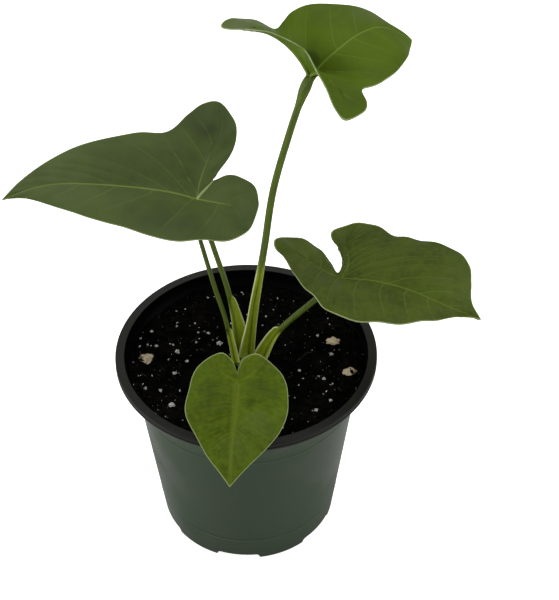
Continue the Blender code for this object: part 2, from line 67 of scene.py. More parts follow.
# Blades. spot is where the petiole meets the blade, in metres above the soil, and turn its
# angles in degrees. Outlines are in millimetres: (along the midrib, to the left of it, lift)
# in the blade's own frame, whose origin is at the spot. A side vein is three shares along
# the blade, at its rib, half-way out and at the margin: 0 to 1 runs from the tip to the
# petiole, 1 to 2 out along the basal vein and 2 to 3 back to the sinus. dome, quilt, wave
# and pucker are heights in millimetres, waves how many run round the margin, ease how often
# the basal folds are softened, seam how fast the margin's pale line returns at the sinus,
# basal how narrow the basal veins are, painted_shade_and_highlight painted shade (below 0)
# and painted highlight (above 0) round places (x, y, radius, strength), and
# painted_hollow_shadow a disc of painted shadow (x, y, radius) in the hollow beside the petiole.
LEAVES = {
    "left": {
        "spot": (-0.0186, 0.0252, 0.0670), "turn": (-14, -9, 192), "tip": (76, -6, -5),
        "midrib": [(12, -4, 0), (35, -8, 0), (58, -10, -1)], "sinus": (-7, -8, 1), "dome": 0.05,
        "quilt": 0.22, "wave": 0.4, "waves": 5, "ease": 110, "seam": 5.0, "pucker": 0.05,
        "basal": 1.0,
        "painted_shade_and_highlight": [(18, 10, 9, -0.55), (8, 14, 8, -0.35), (28, 8, 8, -0.25), (-12, -27, 9, -0.5),
                  (-6, -34, 9, -0.4), (56, -12, 17, 0.6), (-15, 5, 7, 0.5), (1, -14, 6, -0.2)],
        "halves": [
            {"vein": [(-8, 3, 1), (-15, 6, 1)],
             "front": [(66, -5, -4), (54, 1, -3), (36, 12, 1), (24, 20, 4), (12, 25, 6)],
             "outer": [(2, 25, 6), (-8, 26, 7), (-17, 20, 5), (-25, 4, 0)],
             "inner": [(-25, -4, 1), (-20, -9, 2), (-14, -10, 2)],
             "side_veins": [(0.22, 0.15, 0.08), (0.42, 0.30, 0.20), (0.60, 0.48, 0.34),
                            (0.80, 0.64, 0.45), (0.98, 0.94, 0.86), (1.50, 1.27, 1.08),
                            (1.90, 1.72, 1.55), (2.35, 2.30, 2.25), (2.70, 2.72, 2.74)]},
            {"vein": [(-5, -13, 3), (-10, -25, 6)],
             "front": [(68, -13, -2), (55, -21, 2), (40, -26, 5), (22, -29, 7), (9, -29, 7)],
             "outer": [(-1, -36, 10), (-8, -41, 11), (-15, -41, 11), (-20, -34, 9)],
             "inner": [(-20, -26, 7), (-17, -19, 5), (-12, -13, 3)],
             "side_veins": [(0.20, 0.12, 0.06), (0.40, 0.24, 0.14), (0.58, 0.36, 0.22),
                            (0.75, 0.46, 0.30), (0.88, 0.62, 0.40), (0.97, 0.87, 0.72),
                            (1.05, 1.00, 0.97), (1.55, 1.33, 1.16), (1.85, 1.62, 1.38),
                            (2.10, 1.96, 1.80), (2.45, 2.40, 2.35), (2.75, 2.75, 2.76)]},
        ],
    },
    "top": {
        "spot": (0.0259, 0.0187, 0.1290), "turn": (0, 0, 43), "tip": (46, -9, -1),
        # The disc beside the petiole, given after the midrib as (x, y, radius), is painted shadow.
        "midrib": [(4, -2, 5), (9, -4, 9), (20, -4, 11), (34, -4, 8)], "painted_hollow_shadow": (1.0, 4.2, 5.4),
        "sinus": (-3, 1, 13), "dome": 0.04, "quilt": 0.15, "wave": 0.3, "waves": 4, "ease": 40,
        "seam": 0.0, "pucker": 0.03, "basal": 1.4,
        "painted_shade_and_highlight": [(-5, 31, 9, 0.8), (-11, 18, 6, 0.4), (34, 4, 7, 0.45), (-8, -24, 9, -0.35),
                  (24, 17, 9, -0.25)],
        "halves": [
            {"vein": [(-1, 2, 5), (-3, 7, 11), (-4, 15, 13), (-4, 27, 11)],
             "front": [(44, -6, 2), (40, -2, 6), (37, 5, 9), (32, 13, 11), (23, 22, 11),
                       (15, 25, 10)],
             "outer": [(10, 25, 8), (7, 27, 5), (6, 37, 5), (-2, 39.5, 8.4), (-11.5, 36, 10.6)],
             "inner": [(-14, 28, 14), (-12, 20, 16), (-8, 12, 17)],
             "side_veins": [(0.22, 0.20, 0.16), (0.38, 0.36, 0.33), (0.55, 0.545, 0.53),
                            (0.76, 0.74, 0.71), (1.00, 0.95, 0.86), (1.40, 1.20, 1.05),
                            (1.75, 1.55, 1.35), (2.25, 2.30, 2.35), (2.60, 2.65, 2.70)]},
            {"vein": [(-1, -4, 5), (-4, -13, 7), (-6, -23, 5)],
             "front": [(42, -12, -1), (33, -18, 1), (23, -22, 2), (13, -24, 3)],
             "outer": [(2, -24, 5), (-2, -30, 4), (-6, -32, 3), (-14, -31, 3)],
             "inner": [(-14, -26, 5), (-12, -20, 8), (-8, -11, 11)],
             "side_veins": [(0.26, 0.22, 0.18), (0.44, 0.40, 0.34), (0.61, 0.57, 0.50),
                            (0.79, 0.74, 0.66), (0.95, 0.92, 0.88), (1.45, 1.35, 1.20),
                            (1.85, 1.75, 1.60), (2.35, 2.40, 2.45), (2.70, 2.75, 2.80)]},
        ],
    },
    "right": {
        "spot": (0.0388, 0.0041, 0.0420), "turn": (0, -6, -38), "tip": (60, 7, -1),
        "midrib": [(12, 5, 0), (28, 7, 0), (44, 6, 0)], "sinus": (-3, 1, 0), "dome": 0.05,
        "quilt": 0.60, "wave": 0.5, "waves": 7, "ease": 120, "seam": 0.0, "pucker": 0.12,
        "basal": 1.3,
        "painted_shade_and_highlight": [(46, 14, 13, 0.5), (-24, 4, 13, 0.5), (14, 14, 9, 0.35), (0, 24, 8, -0.3)],
        "halves": [
            {"vein": [(-3, 8, 1), (-8, 17, 3)],
             "front": [(53, 12, 1), (48, 20, 2), (43, 27, 5), (33, 32, 6), (20, 31, 6)],
             "outer": [(6, 29, 5), (-5, 30, 6), (-14, 26, 5), (-18, 21, 4)],
             "inner": [(-17, 17, 3), (-9, 12, 2), (-4, 7, 1)],
             "side_veins": [(0.25, 0.16, 0.07), (0.48, 0.33, 0.15), (0.72, 0.52, 0.26),
                            (0.94, 0.72, 0.39), (1.02, 0.90, 0.52), (1.12, 1.10, 0.66),
                            (1.30, 1.25, 0.90), (1.50, 1.38, 1.12), (1.67, 1.50, 1.30),
                            (1.92, 1.72, 1.50), (2.05, 1.95, 1.85), (2.40, 2.42, 2.45),
                            (2.70, 2.72, 2.75)]},
            {"vein": [(-10, 1, 0), (-23, 4, 0)],
             "front": [(51, 3, -1), (44, -4, -1), (33, -16, 2), (21, -23, 4), (12, -24, 4)],
             "outer": [(0, -19, 4), (-13, -12, 2), (-28, -1, 0), (-36, 3, 0)],
             "inner": [(-38.6, 7.8, 0), (-34.6, 13, -0.4), (-22.6, 13, -0.4), (-10.6, 6.8, 0)],
             "side_veins": [(0.22, 0.18, 0.12), (0.40, 0.36, 0.28), (0.57, 0.53, 0.46),
                            (0.74, 0.70, 0.62), (0.90, 0.88, 0.82), (1.05, 1.10, 1.06),
                            (1.40, 1.36, 1.28), (1.70, 1.60, 1.48), (1.95, 1.85, 1.75),
                            (2.25, 2.30, 2.32), (2.55, 2.60, 2.65), (2.80, 2.82, 2.85)]},
        ],
    },
    "front": {
        "spot": (-0.0038, -0.0406, 0.0300), "turn": (0, 26, -94), "tip": (41, -1, -3),
        "midrib": [(10, 0, 0), (22, -1, -1), (32, -1, -2)], "sinus": (-3, 0, 0), "dome": 0.05,
        "quilt": 0.30, "wave": 0.25, "waves": 6, "ease": 60, "seam": 0.0, "pucker": 0.13,
        "basal": 3.0,
        "painted_shade_and_highlight": [(17, 9, 6, 0.65), (8, -9, 8, -0.40), (27, 0, 6, 0.35), (2, 9, 5, -0.45),
                  (9.5, 6, 2.2, -0.7), (10, 12, 1.6, -0.6), (13, 14, 1.3, -0.5),
                  (5, 11, 2.0, -0.3)],
        "halves": [
            {"vein": [(-2, 4, 0), (-5, 8, 1)],
             "front": [(36, 3, -3), (31, 8, -1), (25, 14, 1), (17, 19, 3)],
             "outer": [(8, 20, 3), (-1, 18, 3), (-8, 12, 1)],
             "inner": [(-11, 7, 1), (-9, 2, 0)],
             "side_veins": [(0.22, 0.18, 0.14), (0.40, 0.36, 0.32), (0.56, 0.56, 0.56),
                            (0.70, 0.75, 0.80), (0.82, 0.95, 1.08), (0.93, 1.25, 1.50),
                            (1.45, 1.65, 1.85), (2.30, 2.35, 2.40)]},
            {"vein": [(-2, -4, 0), (-5, -8, 1)],
             "front": [(36, -5, -2), (30, -10, -1), (22, -15, 2), (14, -19, 3)],
             "outer": [(5, -18, 3), (-3, -16, 3), (-9, -11, 1)],
             "inner": [(-11, -6, 1), (-8, -2, 0)],
             "side_veins": [(0.20, 0.16, 0.12), (0.37, 0.33, 0.29), (0.53, 0.53, 0.53),
                            (0.68, 0.72, 0.78), (0.80, 0.92, 1.05), (0.92, 1.22, 1.46),
                            (1.40, 1.60, 1.80), (2.30, 2.35, 2.40)]},
        ],
    },
}

# Finish of each upper face. deep and light scale the leaf's colour for its clouds and its
# patches; clouds and patches are how many fit in a metre; patchy, fine, side, rib and band
# say how strongly the patches, fine veins, side veins, rib and the paler band along the rib
# show; gloss is the lowest roughness, shine the specular level, relief how deep the fine
# veins lie, margin the pale edge's width in millimetres, and pale the tint of the painted
# highlights.
FINISHES = {
    "left": {"deep": 0.72, "light": (1.35, 1.25, 2.2), "patchy": 0.30, "fine": 0.04,
             "side": 0.32, "rib": 0.60, "gloss": 0.44, "relief": 0.08, "margin": 0.22,
             "clouds": 45.0, "shine": 0.24, "pale": (0.084, 0.119, 0.033), "band": 0.25,
             "patches": 260.0},
    "top": {"deep": 0.80, "light": (1.15, 1.08, 1.2), "patchy": 0.35, "fine": 0.03,
            "side": 0.28, "rib": 0.65, "gloss": 0.44, "relief": 0.06, "margin": 0.28,
            "clouds": 60.0, "shine": 0.12, "pale": (0.118, 0.150, 0.055), "band": 0.15,
            "patches": 300.0},
    "right": {"deep": 0.68, "light": (1.55, 1.36, 1.8), "patchy": 0.50, "fine": 0.14,
              "side": 0.30, "rib": 0.35, "gloss": 0.40, "relief": 0.35, "margin": 0.32,
              "clouds": 75.0, "shine": 0.15, "pale": (0.090, 0.128, 0.016), "band": 0.10,
              "patches": 420.0},
    "front": {"deep": 0.68, "light": (1.65, 1.42, 4.0), "patchy": 0.50, "fine": 0.14,
              "side": 0.06, "rib": 0.12, "gloss": 0.34, "relief": 0.45, "margin": 0.30,
              "clouds": 120.0, "shine": 0.11, "pale": (0.090, 0.130, 0.024), "band": 0.75,
              "patches": 520.0},
}

# Petioles, in metres: foot, route (heights above the soil), half-width of the stalk, how
# much it widens and how far it rises into a cup at its neck, the way its channel faces,
# and its sheath: where it ends, how fast each side closes there, the half-widths of its
# first and second wing at the foot and the top, its depth and any skirt at its foot.
PETIOLES = {
    "left": {"base": (-0.0030, 0.0026),
             "route": [(-0.0060, 0.0085, 0.0270), (-0.0118, 0.0160, 0.0470)], "half": 0.00105,
             "neck": 1.5, "face": (0.42, -0.84, 0.20), "sheath_end": 0.425,
             "closing": (0.42, 0.045), "first_wing": (0.0016, 0.0012),
             "second_wing": (0.0074, 0.0018), "depth": 0.0017},
    "top": {"base": (0.0010, 0.0030),
            "route": [(0.0033, 0.0043, 0.0251), (0.0078, 0.0060, 0.0564),
                      (0.0115, 0.0090, 0.0830), (0.0173, 0.0120, 0.1060),
                      (0.0222, 0.0150, 0.1215)], "half": 0.00135, "neck": 2.0, "cup": 0.0012,
            "face": (0.22, -0.95, 0.10), "sheath_end": 0.43, "closing": (0.28, 0.22),
            "first_wing": (0.0025, 0.0018), "second_wing": (0.0022, 0.0018), "depth": 0.0019,
            "skirt": 0.0022},
    "right": {"base": (0.0066, 0.0018),
              "route": [(0.0131, 0.0020, 0.0150), (0.0272, 0.0030, 0.0305)], "half": 0.00115,
              "neck": 1.5, "face": (-0.28, -0.80, 0.42), "sheath_end": 0.36,
              "closing": (0.045, 0.25), "first_wing": (0.0048, 0.0024),
              "second_wing": (0.0018, 0.0014), "depth": 0.0020},
    "front": {"base": (0.0010, -0.0024),
              "route": [(0.0000, -0.0120, 0.0155), (-0.0020, -0.0270, 0.0255)], "half": 0.00090,
              "neck": 1.3, "face": (0.0, 0.40, 0.90), "sheath_end": 0.30,
              "closing": (0.10, 0.10), "first_wing": (0.0018, 0.0014),
              "second_wing": (0.0018, 0.0014), "depth": 0.0014},
}
YOUNG_STALK = {"base": (-0.0046, -0.0008),
               "route": [(-0.0080, 0.0056, 0.0180), (-0.0124, 0.0115, 0.0320)], "half": 0.00092,
               "neck": 0.8, "face": (-0.10, -0.95, 0.20), "sheath_end": 0.29,
               "closing": (0.20, 0.03), "first_wing": (0.0012, 0.0010),
               "second_wing": (0.0022, 0.0016), "depth": 0.0013,
               "tip": (-0.0185, 0.0225, 0.0515)}
YOUNG_LEAF_AIM = Vector((-0.0055, 0.0195, 0.0135))

PERLITE_NODES = [f"perlite_{number:02d}" for number in range(1, 17)]
CHIP_NODES = ["bark_chip", "wood_chip_1", "wood_chip_2"]

# --- pot and soil details, in metres -------------------------------------------

LIP_WIDTH = 0.0038          # flat of the lip, from its outer edge to the mouth
LIP_SKIRT = 0.0028          # how far the lip's outer edge hangs down
COLLAR_DROP = 0.0058        # from the top to the foot of the collar under the lip
COLLAR_STEP = 0.0008        # how much the collar narrows on its way down
SHOULDER_DROP = 0.0092      # from the top to where the tapering wall begins
NECK_DROP = 0.0024          # from under the lip to where the neck radius is measured
FOOT_ROUND = 0.0015
FLOOR_THICKNESS = 0.0012
BEAD_HEIGHTS = (0.0711, 0.0145)
BEAD_SIZE = 0.0004
NOTCHES = 6
NOTCH_START = math.radians(-98.0)
NOTCH_HALF = 0.010
NOTCH_DEPTH = 0.0065
DRAIN_RADIUS = 0.0022
CLEARANCE = 0.0003          # gap between soil and pot, and between pot and floor
FRONT_RISE = 0.0016         # how much higher the soil's edge is at the front
SOIL_LEVELS = (0.0798, 0.040, 0.0065)

# --- blade and petiole details -------------------------------------------------

SHEET_SCALE = 0.0016        # thickness in metres where the thickness share is 1
SHEET_SHARE = 0.28
RIB_SHARE = 0.55
SIDE_SHARE = 0.09
RIB_HALF = 0.55             # half-widths and grooves in millimetres
RIB_TIP_HALF = 0.16
RIB_GROOVE = 0.30
SIDE_VEIN_HALF = 0.16
SIDE_GROOVE = 0.10
UNEVEN = 0.35
NECK_START = 0.90           # share of the petiole where its neck begins
ROLL_LENGTH = 0.025

# --- mesh sizes ----------------------------------------------------------------

FRONT_COLUMNS = 84
LOBE_COLUMNS = 42
BLADE_ROWS = 30
STALK_RINGS = 110
STALK_SIDES = 40
ROLL_RINGS = 60
ROLL_SIDES = 44
POT_STEPS = 168
SOIL_RINGS = 84
SOIL_SPOKES = 224

# --- stage ---------------------------------------------------------------------

LIGHT_TARGET = Vector((0.0, 0.0, 0.10))
CAMERA_SPOT = (0.0, -0.45875, 0.53612)
CAMERA_DOWN = 42.365        # degrees below level
CAMERA_TURN = -1.711        # degrees to the right of +Y
CAMERA_LENS = 93.0


# --- settings ------------------------------------------------------------------

def colour_setting(name, description, default):
    """A colour that the user can pick."""
    return bpy.props.FloatVectorProperty(name=name, description=description, subtype="COLOR",
                                         size=3, min=0.0, max=1.0, default=default)


def length_setting(name, description, default):
    """A length in metres that the user can set."""
    return bpy.props.FloatProperty(name=name, description=description, unit="LENGTH",
                                   min=0.0, precision=4, default=default)


def count_setting(name, description, default):
    """A whole number that the user can set."""
    return bpy.props.IntProperty(name=name, description=description, min=0, default=default)


def level_setting(name, description, default):
    """A strength that the user can set."""
    return bpy.props.FloatProperty(name=name, description=description, min=0.0, default=default)


class PotSettings(bpy.types.PropertyGroup):
    """Sizes and colours of the nursery pot"""
    rim_radius: length_setting("Rim radius", "Radius of the lip's outer edge", POT_HIGH.x)
    height: length_setting("Height", "Height of the lip above the ground", POT_HIGH.z)
    base_radius: length_setting("Base radius", "Outer radius at the ground", 0.0375)
    neck_radius: length_setting("Neck radius", "Outer radius just under the lip", 0.0475)
    wall: length_setting("Wall", "Thickness of the moulded sheet", 0.0010)
    notch_height: length_setting("Notch height", "Height of the arched notches in the foot", 0.0032)
    outside: colour_setting("Outside", "Colour of the outer skin", (0.0125, 0.0305, 0.0085))
    # Inside is near black to paint the shade inside the pot.
    inside: colour_setting("Inside", "Colour of the inner skin", (0.0012, 0.0012, 0.0012))
    lip: colour_setting("Lip", "Colour of the flat lip", (0.0150, 0.0155, 0.0130))


class SoilSettings(bpy.types.PropertyGroup):
    """Make-up of the potting soil"""
    lumps: length_setting("Unevenness", "How far the surface rises and falls", 0.0011)
    crumbs: count_setting("Crumbs", "Peat crumbs on the surface", 2150)
    grit: count_setting("Perlite grit", "Fine white grains", 330)
    fibres: count_setting("Fibres", "Bark and root fibres", 110)
    seed: count_setting("Seed", "Changes where the loose bits lie", 4)
    peat: colour_setting("Peat", "Colour of the moist peat", (0.0014, 0.0012, 0.0009))
    perlite: colour_setting("Perlite", "Colour of the white grains", (0.60, 0.60, 0.57))
    bark: colour_setting("Bark", "Colour of the bark and wood chips", (0.62, 0.51, 0.34))


class PlantSettings(bpy.types.PropertyGroup):
    """Colours of the plant"""
    # The left leaf's colour is greyer and bluer than the others: painted sheen in its green.
    left: colour_setting("Left leaf", "Main colour of the left leaf", (0.063, 0.097, 0.013))
    top: colour_setting("Top leaf", "Main colour of the top leaf", (0.080, 0.134, 0.002))
    right: colour_setting("Right leaf", "Main colour of the right leaf", (0.058, 0.090, 0.005))
    front: colour_setting("Front leaf", "Main colour of the front leaf", (0.071, 0.117, 0.001))
    vein: colour_setting("Veins", "Colour of the ribs", (0.190, 0.270, 0.040))
    margin: colour_setting("Margins", "Colour of the pale leaf edges", (0.330, 0.400, 0.165))
    stalk: colour_setting("Stalks", "Colour of the petioles", (0.120, 0.180, 0.015))
    sheath: colour_setting("Sheaths", "Colour of the young sheaths", (0.350, 0.440, 0.020))
    sheath_edge: colour_setting("Sheath edges", "Colour of the thin sheath margins",
                                (0.640, 0.720, 0.340))


class StageSettings(bpy.types.PropertyGroup):
    """Floor and light"""
    floor: colour_setting("Floor", "Colour of the floor", (0.90, 0.90, 0.90))
    sky: level_setting("Surround", "Strength of the white surround", 0.36)
    key: level_setting("Key light", "Power of the overhead panel in watts", 7.5)
    fill: level_setting("Side light", "Power of the right panel in watts; left and front follow it",
                        2.9)


# --- mesh helpers --------------------------------------------------------------

def add_piece(name, mesh, materials=()):
    """Link a mesh object at the origin, with its materials."""
    piece = bpy.data.objects.new(name, mesh)
    bpy.context.scene.collection.objects.link(piece)
    for material in materials:
        mesh.materials.append(material)
    return piece


def mesh_from(name, work):
    """Turn a bmesh into a smooth-shaded mesh."""
    mesh = bpy.data.meshes.new(name)
    work.to_mesh(mesh)
    work.free()
    mesh.shade_smooth()
    return mesh


def settle(piece):
    """Replace the piece's mesh by what its modifiers give, and drop them."""
    graph = bpy.context.evaluated_depsgraph_get()
    mesh = bpy.data.meshes.new_from_object(piece.evaluated_get(graph))
    mesh.name = piece.name
    piece.modifiers.clear()
    piece.data = mesh


def stand_for(piece, slot, *nodes):
    """Ride on the plant's one body and stand for CAD nodes, which are hidden; slot is not used."""
    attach(piece, "root")
    if nodes:
        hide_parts(*nodes)


def smooth_step(low, high, value):
    """0 below low, 1 above high, and a smooth rise between."""
    share = min(1.0, max(0.0, (value - low) / (high - low)))
    return share * share * (3 - 2 * share)


def arc(centre_r, centre_z, radius, start, end, steps):
    """Points of an arc in the (radius, height) plane, angles in degrees."""
    points = []
    for i in range(steps + 1):
        angle = math.radians(start + (end - start) * i / steps)
        points.append((centre_r + radius * math.cos(angle), centre_z + radius * math.sin(angle)))
    return points


def curve_through(points, per_span=8):
    """Catmull-Rom curve through the points, evenly divided in each span."""
    padded = [points[0] * 2 - points[1]] + points + [points[-1] * 2 - points[-2]]
    path = []
    for before, start, end, after in zip(padded, padded[1:], padded[2:], padded[3:]):
        for i in range(per_span):
            t = i / per_span
            path.append(0.5 * (2 * start + (end - before) * t
                               + (2 * before - 5 * start + 4 * end - after) * t * t
                               + (3 * start - before - 3 * end + after) * t ** 3))
    path.append(points[-1].copy())
    return path


def evenly(path, count):
    """count + 1 points spaced evenly by length along the path."""
    reach = [0.0]
    for first, second in zip(path, path[1:]):
        reach.append(reach[-1] + (second - first).length)
    spots = []
    span = 0
    for i in range(count + 1):
        target = reach[-1] * i / count
        while span < len(path) - 2 and reach[span + 1] < target:
            span += 1
        length = reach[span + 1] - reach[span]
        share = (target - reach[span]) / length if length > 0 else 0.0
        spots.append(path[span].lerp(path[span + 1], min(1.0, share)))
    return spots


# --- node helpers --------------------------------------------------------------

def feed(tree, inputs, values):
    """Set or link inputs by name; a value is a number, a colour or an output socket."""
    for name, value in values.items():
        socket = inputs[name]
        if isinstance(value, bpy.types.NodeSocket):
            tree.links.new(value, socket)
        elif socket.type == "RGBA" and len(value) == 3:
            socket.default_value = (*value, 1.0)
        else:
            socket.default_value = value


def add_node(tree, kind, values=None, **settings):
    """Add a node with its settings and its inputs."""
    node = tree.nodes.new(kind)
    for name, value in settings.items():
        setattr(node, name, value)
    feed(tree, node.inputs, values or {})
    return node


def maths(tree, operation, first, second=0.0, clamp=False):
    """One Math node's output."""
    return add_node(tree, "ShaderNodeMath", {0: first, 1: second}, operation=operation,
                    use_clamp=clamp).outputs[0]


def times(tree, first, second, clamp=False):
    """The product of two values."""
    return maths(tree, "MULTIPLY", first, second, clamp)


def ramp(tree, value, low, high, start=0.0, end=1.0):
    """A smooth rise from start to end as value goes from low to high."""
    node = add_node(tree, "ShaderNodeMapRange", {"Value": value, "From Min": low, "From Max": high,
                                                 "To Min": start, "To Max": end},
                    interpolation_type="SMOOTHSTEP")
    return node.outputs["Result"]


def blend(tree, share, first, second):
    """Mix two colours by a share."""
    return add_node(tree, "ShaderNodeMix", {0: share, 6: first, 7: second},
                    data_type="RGBA").outputs[2]


def layer(tree, mask, strength, under, over):
    """Lay a colour over another where a mask says so, at a strength."""
    return blend(tree, times(tree, mask, strength), under, over)


def speckle(tree, where, scale, detail=3.0):
    """A noise texture's value."""
    return add_node(tree, "ShaderNodeTexNoise", {"Vector": where, "Scale": scale, "Detail": detail,
                                                 "Roughness": 0.55}).outputs["Fac"]


def new_group(name, inputs, outputs):
    """A shader group with number sockets: inputs with their defaults, and outputs."""
    tree = bpy.data.node_groups.new(name, "ShaderNodeTree")
    for label, default in inputs.items():
        tree.interface.new_socket(name=label, in_out="INPUT",
                                  socket_type="NodeSocketFloat").default_value = default
    for label in outputs:
        tree.interface.new_socket(name=label, in_out="OUTPUT", socket_type="NodeSocketFloat")
    return tree, tree.nodes.new("NodeGroupInput").outputs, tree.nodes.new("NodeGroupOutput").inputs


def use_group(tree, name, values=None):
    """Place a shader group in a tree and give its outputs."""
    return add_node(tree, "ShaderNodeGroup", values, node_tree=bpy.data.node_groups[name]).outputs


def new_material(name):
    """A material with one Principled shader; gives the material, its tree and the shader."""
    material = bpy.data.materials.new(name)
    material.use_nodes = True
    return material, material.node_tree, material.node_tree.nodes["Principled BSDF"]


def object_place(tree):
    """Object coordinates in metres."""
    return tree.nodes.new("ShaderNodeTexCoord").outputs["Object"]


def own_map(tree, name):
    """The coordinates of one of the piece's own UV maps."""
    return add_node(tree, "ShaderNodeUVMap", uv_map=name).outputs["UV"]


def parts_of(tree, vector):
    """The X, Y and Z of a vector."""
    return add_node(tree, "ShaderNodeSeparateXYZ", {0: vector}).outputs


def bump(tree, shader, height, distance):
    """Feed a height, in units of the distance, into the shader's normal."""
    node = add_node(tree, "ShaderNodeBump", {"Height": height, "Distance": distance,
                                             "Strength": 1.0})
    feed(tree, shader.inputs, {"Normal": node.outputs["Normal"]})


# --- finishes ------------------------------------------------------------------

def tinted(colour, gain):
    """A colour made lighter or darker."""
    return [part * gain for part in colour]


def build_mottle_group():
    """Uneven living tissue: broad clouds, small patches and fine cells."""
    tree, given, made = new_group("Mottle", {"Broad": 60.0, "Patches": 260.0, "Cells": 2200.0},
                                  ("Clouds", "Blotches", "Grain"))
    where = object_place(tree)
    feed(tree, made, {
        "Clouds": ramp(tree, speckle(tree, where, given["Broad"], 2.0), 0.35, 0.65),
        "Blotches": ramp(tree, speckle(tree, where, given["Patches"]), 0.35, 0.68),
        "Grain": speckle(tree, where, given["Cells"], 2.0),
    })


def build_vein_group():
    """Rib, side vein, fine vein and margin masks from the blade's own maps."""
    tree, given, made = new_group("Blade veins", {"Margin width": 0.35, "Fine veins": 5.0},
                                  ("Rib", "Side", "Fine", "Margin", "Out", "Band"))
    veins = parts_of(tree, own_map(tree, "veins"))
    reach = parts_of(tree, own_map(tree, "reach"))
    waver = maths(tree, "SUBTRACT", speckle(tree, object_place(tree), 120.0, 2.0), 0.5)
    phase = maths(tree, "ADD", veins["X"], times(tree, waver, 0.10))
    across = times(tree, maths(tree, "PINGPONG", phase, 0.5), veins["Y"])
    fine = maths(tree, "PINGPONG", times(tree, phase, given["Fine veins"]), 0.5)
    edge = maths(tree, "DIVIDE", reach["Y"], given["Margin width"])
    feed(tree, made, {
        "Side": ramp(tree, across, 0.4, 1.9, 1.0, 0.0),
        "Fine": ramp(tree, fine, 0.04, 0.30, 1.0, 0.0),
        "Rib": ramp(tree, reach["X"], 0.45, 1.25, 1.0, 0.0),
        "Band": ramp(tree, reach["X"], 0.8, 6.0, 1.0, 0.0),
        "Margin": ramp(tree, edge, 0.6, 1.3, 1.0, 0.0),
        "Out": ramp(tree, reach["Y"], 0.0, 9.0),
    })


def blade_material(name, colour, finish):
    """Upper face of a leaf. finish holds its light and dark tints and its veins' strength."""
    settings = bpy.context.scene.philodendron_plant
    material, tree, shader = new_material(name)
    mottle = use_group(tree, "Mottle", {"Broad": finish["clouds"], "Patches": finish["patches"]})
    veins = use_group(tree, "Blade veins", {"Margin width": finish["margin"], "Fine veins": 4.0})
    tone = add_node(tree, "ShaderNodeAttribute", attribute_name="tone").outputs["Fac"]
    deep = tinted(colour, finish["deep"])
    light = [part * gain for part, gain in zip(colour, finish["light"])]
    shade = blend(tree, mottle["Clouds"], deep, colour)
    shade = layer(tree, mottle["Blotches"], finish["patchy"], shade, light)
    shade = layer(tree, veins["Fine"], finish["fine"], shade, light)
    # Painted shade where the painted light level is below 0, and painted highlight in the pale tint
    # where it is above 0.
    shade = blend(tree, times(tree, tone, -1.0, clamp=True), shade, tinted(colour, 0.45))
    shade = blend(tree, times(tree, tone, 1.0, clamp=True), shade, finish["pale"])
    shade = blend(tree, ramp(tree, mottle["Grain"], 0.3, 0.7, 0.0, 0.18), shade, deep)
    shade = layer(tree, veins["Band"], finish["band"], shade, light)
    shade = layer(tree, times(tree, veins["Side"], veins["Out"]), finish["side"], shade,
                  settings.vein)
    shade = layer(tree, veins["Rib"], finish["rib"], shade, settings.vein)
    shade = layer(tree, veins["Margin"], 0.85, shade, settings.margin)
    gloss = finish["gloss"]
    feed(tree, shader.inputs, {"Base Color": shade, "Specular IOR Level": finish["shine"],
                               "Roughness": ramp(tree, mottle["Blotches"], 0.0, 1.0, gloss,
                                                 gloss + 0.12)})
    hollows = times(tree, veins["Fine"], finish["relief"])
    bump(tree, shader, maths(tree, "SUBTRACT", times(tree, mottle["Grain"], 0.35), hollows),
         0.00012)
    return material


def underside_material(name, colour):
    """Lower face of a leaf: paler and duller, with raised veins."""
    settings = bpy.context.scene.philodendron_plant
    material, tree, shader = new_material(name)
    mottle = use_group(tree, "Mottle", {"Broad": 80.0, "Patches": 300.0})
    veins = use_group(tree, "Blade veins")
    shade = blend(tree, mottle["Clouds"], [part * 1.25 + 0.012 for part in colour], colour)
    shade = layer(tree, veins["Side"], 0.55, shade, settings.vein)
    shade = layer(tree, veins["Rib"], 0.8, shade, settings.vein)
    feed(tree, shader.inputs, {"Base Color": shade, "Roughness": 0.55, "Specular IOR Level": 0.2})
    bump(tree, shader, mottle["Grain"], 0.00008)
    return material


def rim_material():
    """The cut-paper-thin pale edge of a blade."""
    settings = bpy.context.scene.philodendron_plant
    material, tree, shader = new_material("leaf margin")
    mottle = use_group(tree, "Mottle")
    shade = blend(tree, mottle["Blotches"], tinted(settings.margin, 0.7), settings.margin)
    feed(tree, shader.inputs, {"Base Color": shade, "Roughness": 0.5})
    return material


def stalk_material():
    """Petiole: ribbed green stalk, yellower sheath and pale thin sheath edges."""
    settings = bpy.context.scene.philodendron_plant
    material, tree, shader = new_material("petiole skin")
    sheath = parts_of(tree, own_map(tree, "sheath"))
    drawn = add_node(tree, "ShaderNodeMapping",
                     {"Vector": own_map(tree, "wrap"), "Scale": (26.0, 0.10, 1.0)})
    streaks = speckle(tree, drawn.outputs["Vector"], 1.0)
    mottle = use_group(tree, "Mottle", {"Broad": 90.0, "Patches": 500.0})
    dark = tinted(settings.stalk, 0.55)
    green = blend(tree, ramp(tree, streaks, 0.35, 0.65), dark, settings.stalk)
    yellow = blend(tree, ramp(tree, streaks, 0.30, 0.70), tinted(settings.sheath, 0.82),
                   settings.sheath)
    shade = blend(tree, sheath["Y"], green, yellow)
    shade = layer(tree, mottle["Blotches"], 0.14, shade, dark)
    shade = blend(tree, sheath["X"], shade, settings.sheath_edge)
    feed(tree, shader.inputs, {"Base Color": shade, "Specular IOR Level": 0.25,
                               "Roughness": ramp(tree, streaks, 0.3, 0.7, 0.36, 0.50)})
    bump(tree, shader, streaks, 0.00018)
    return material


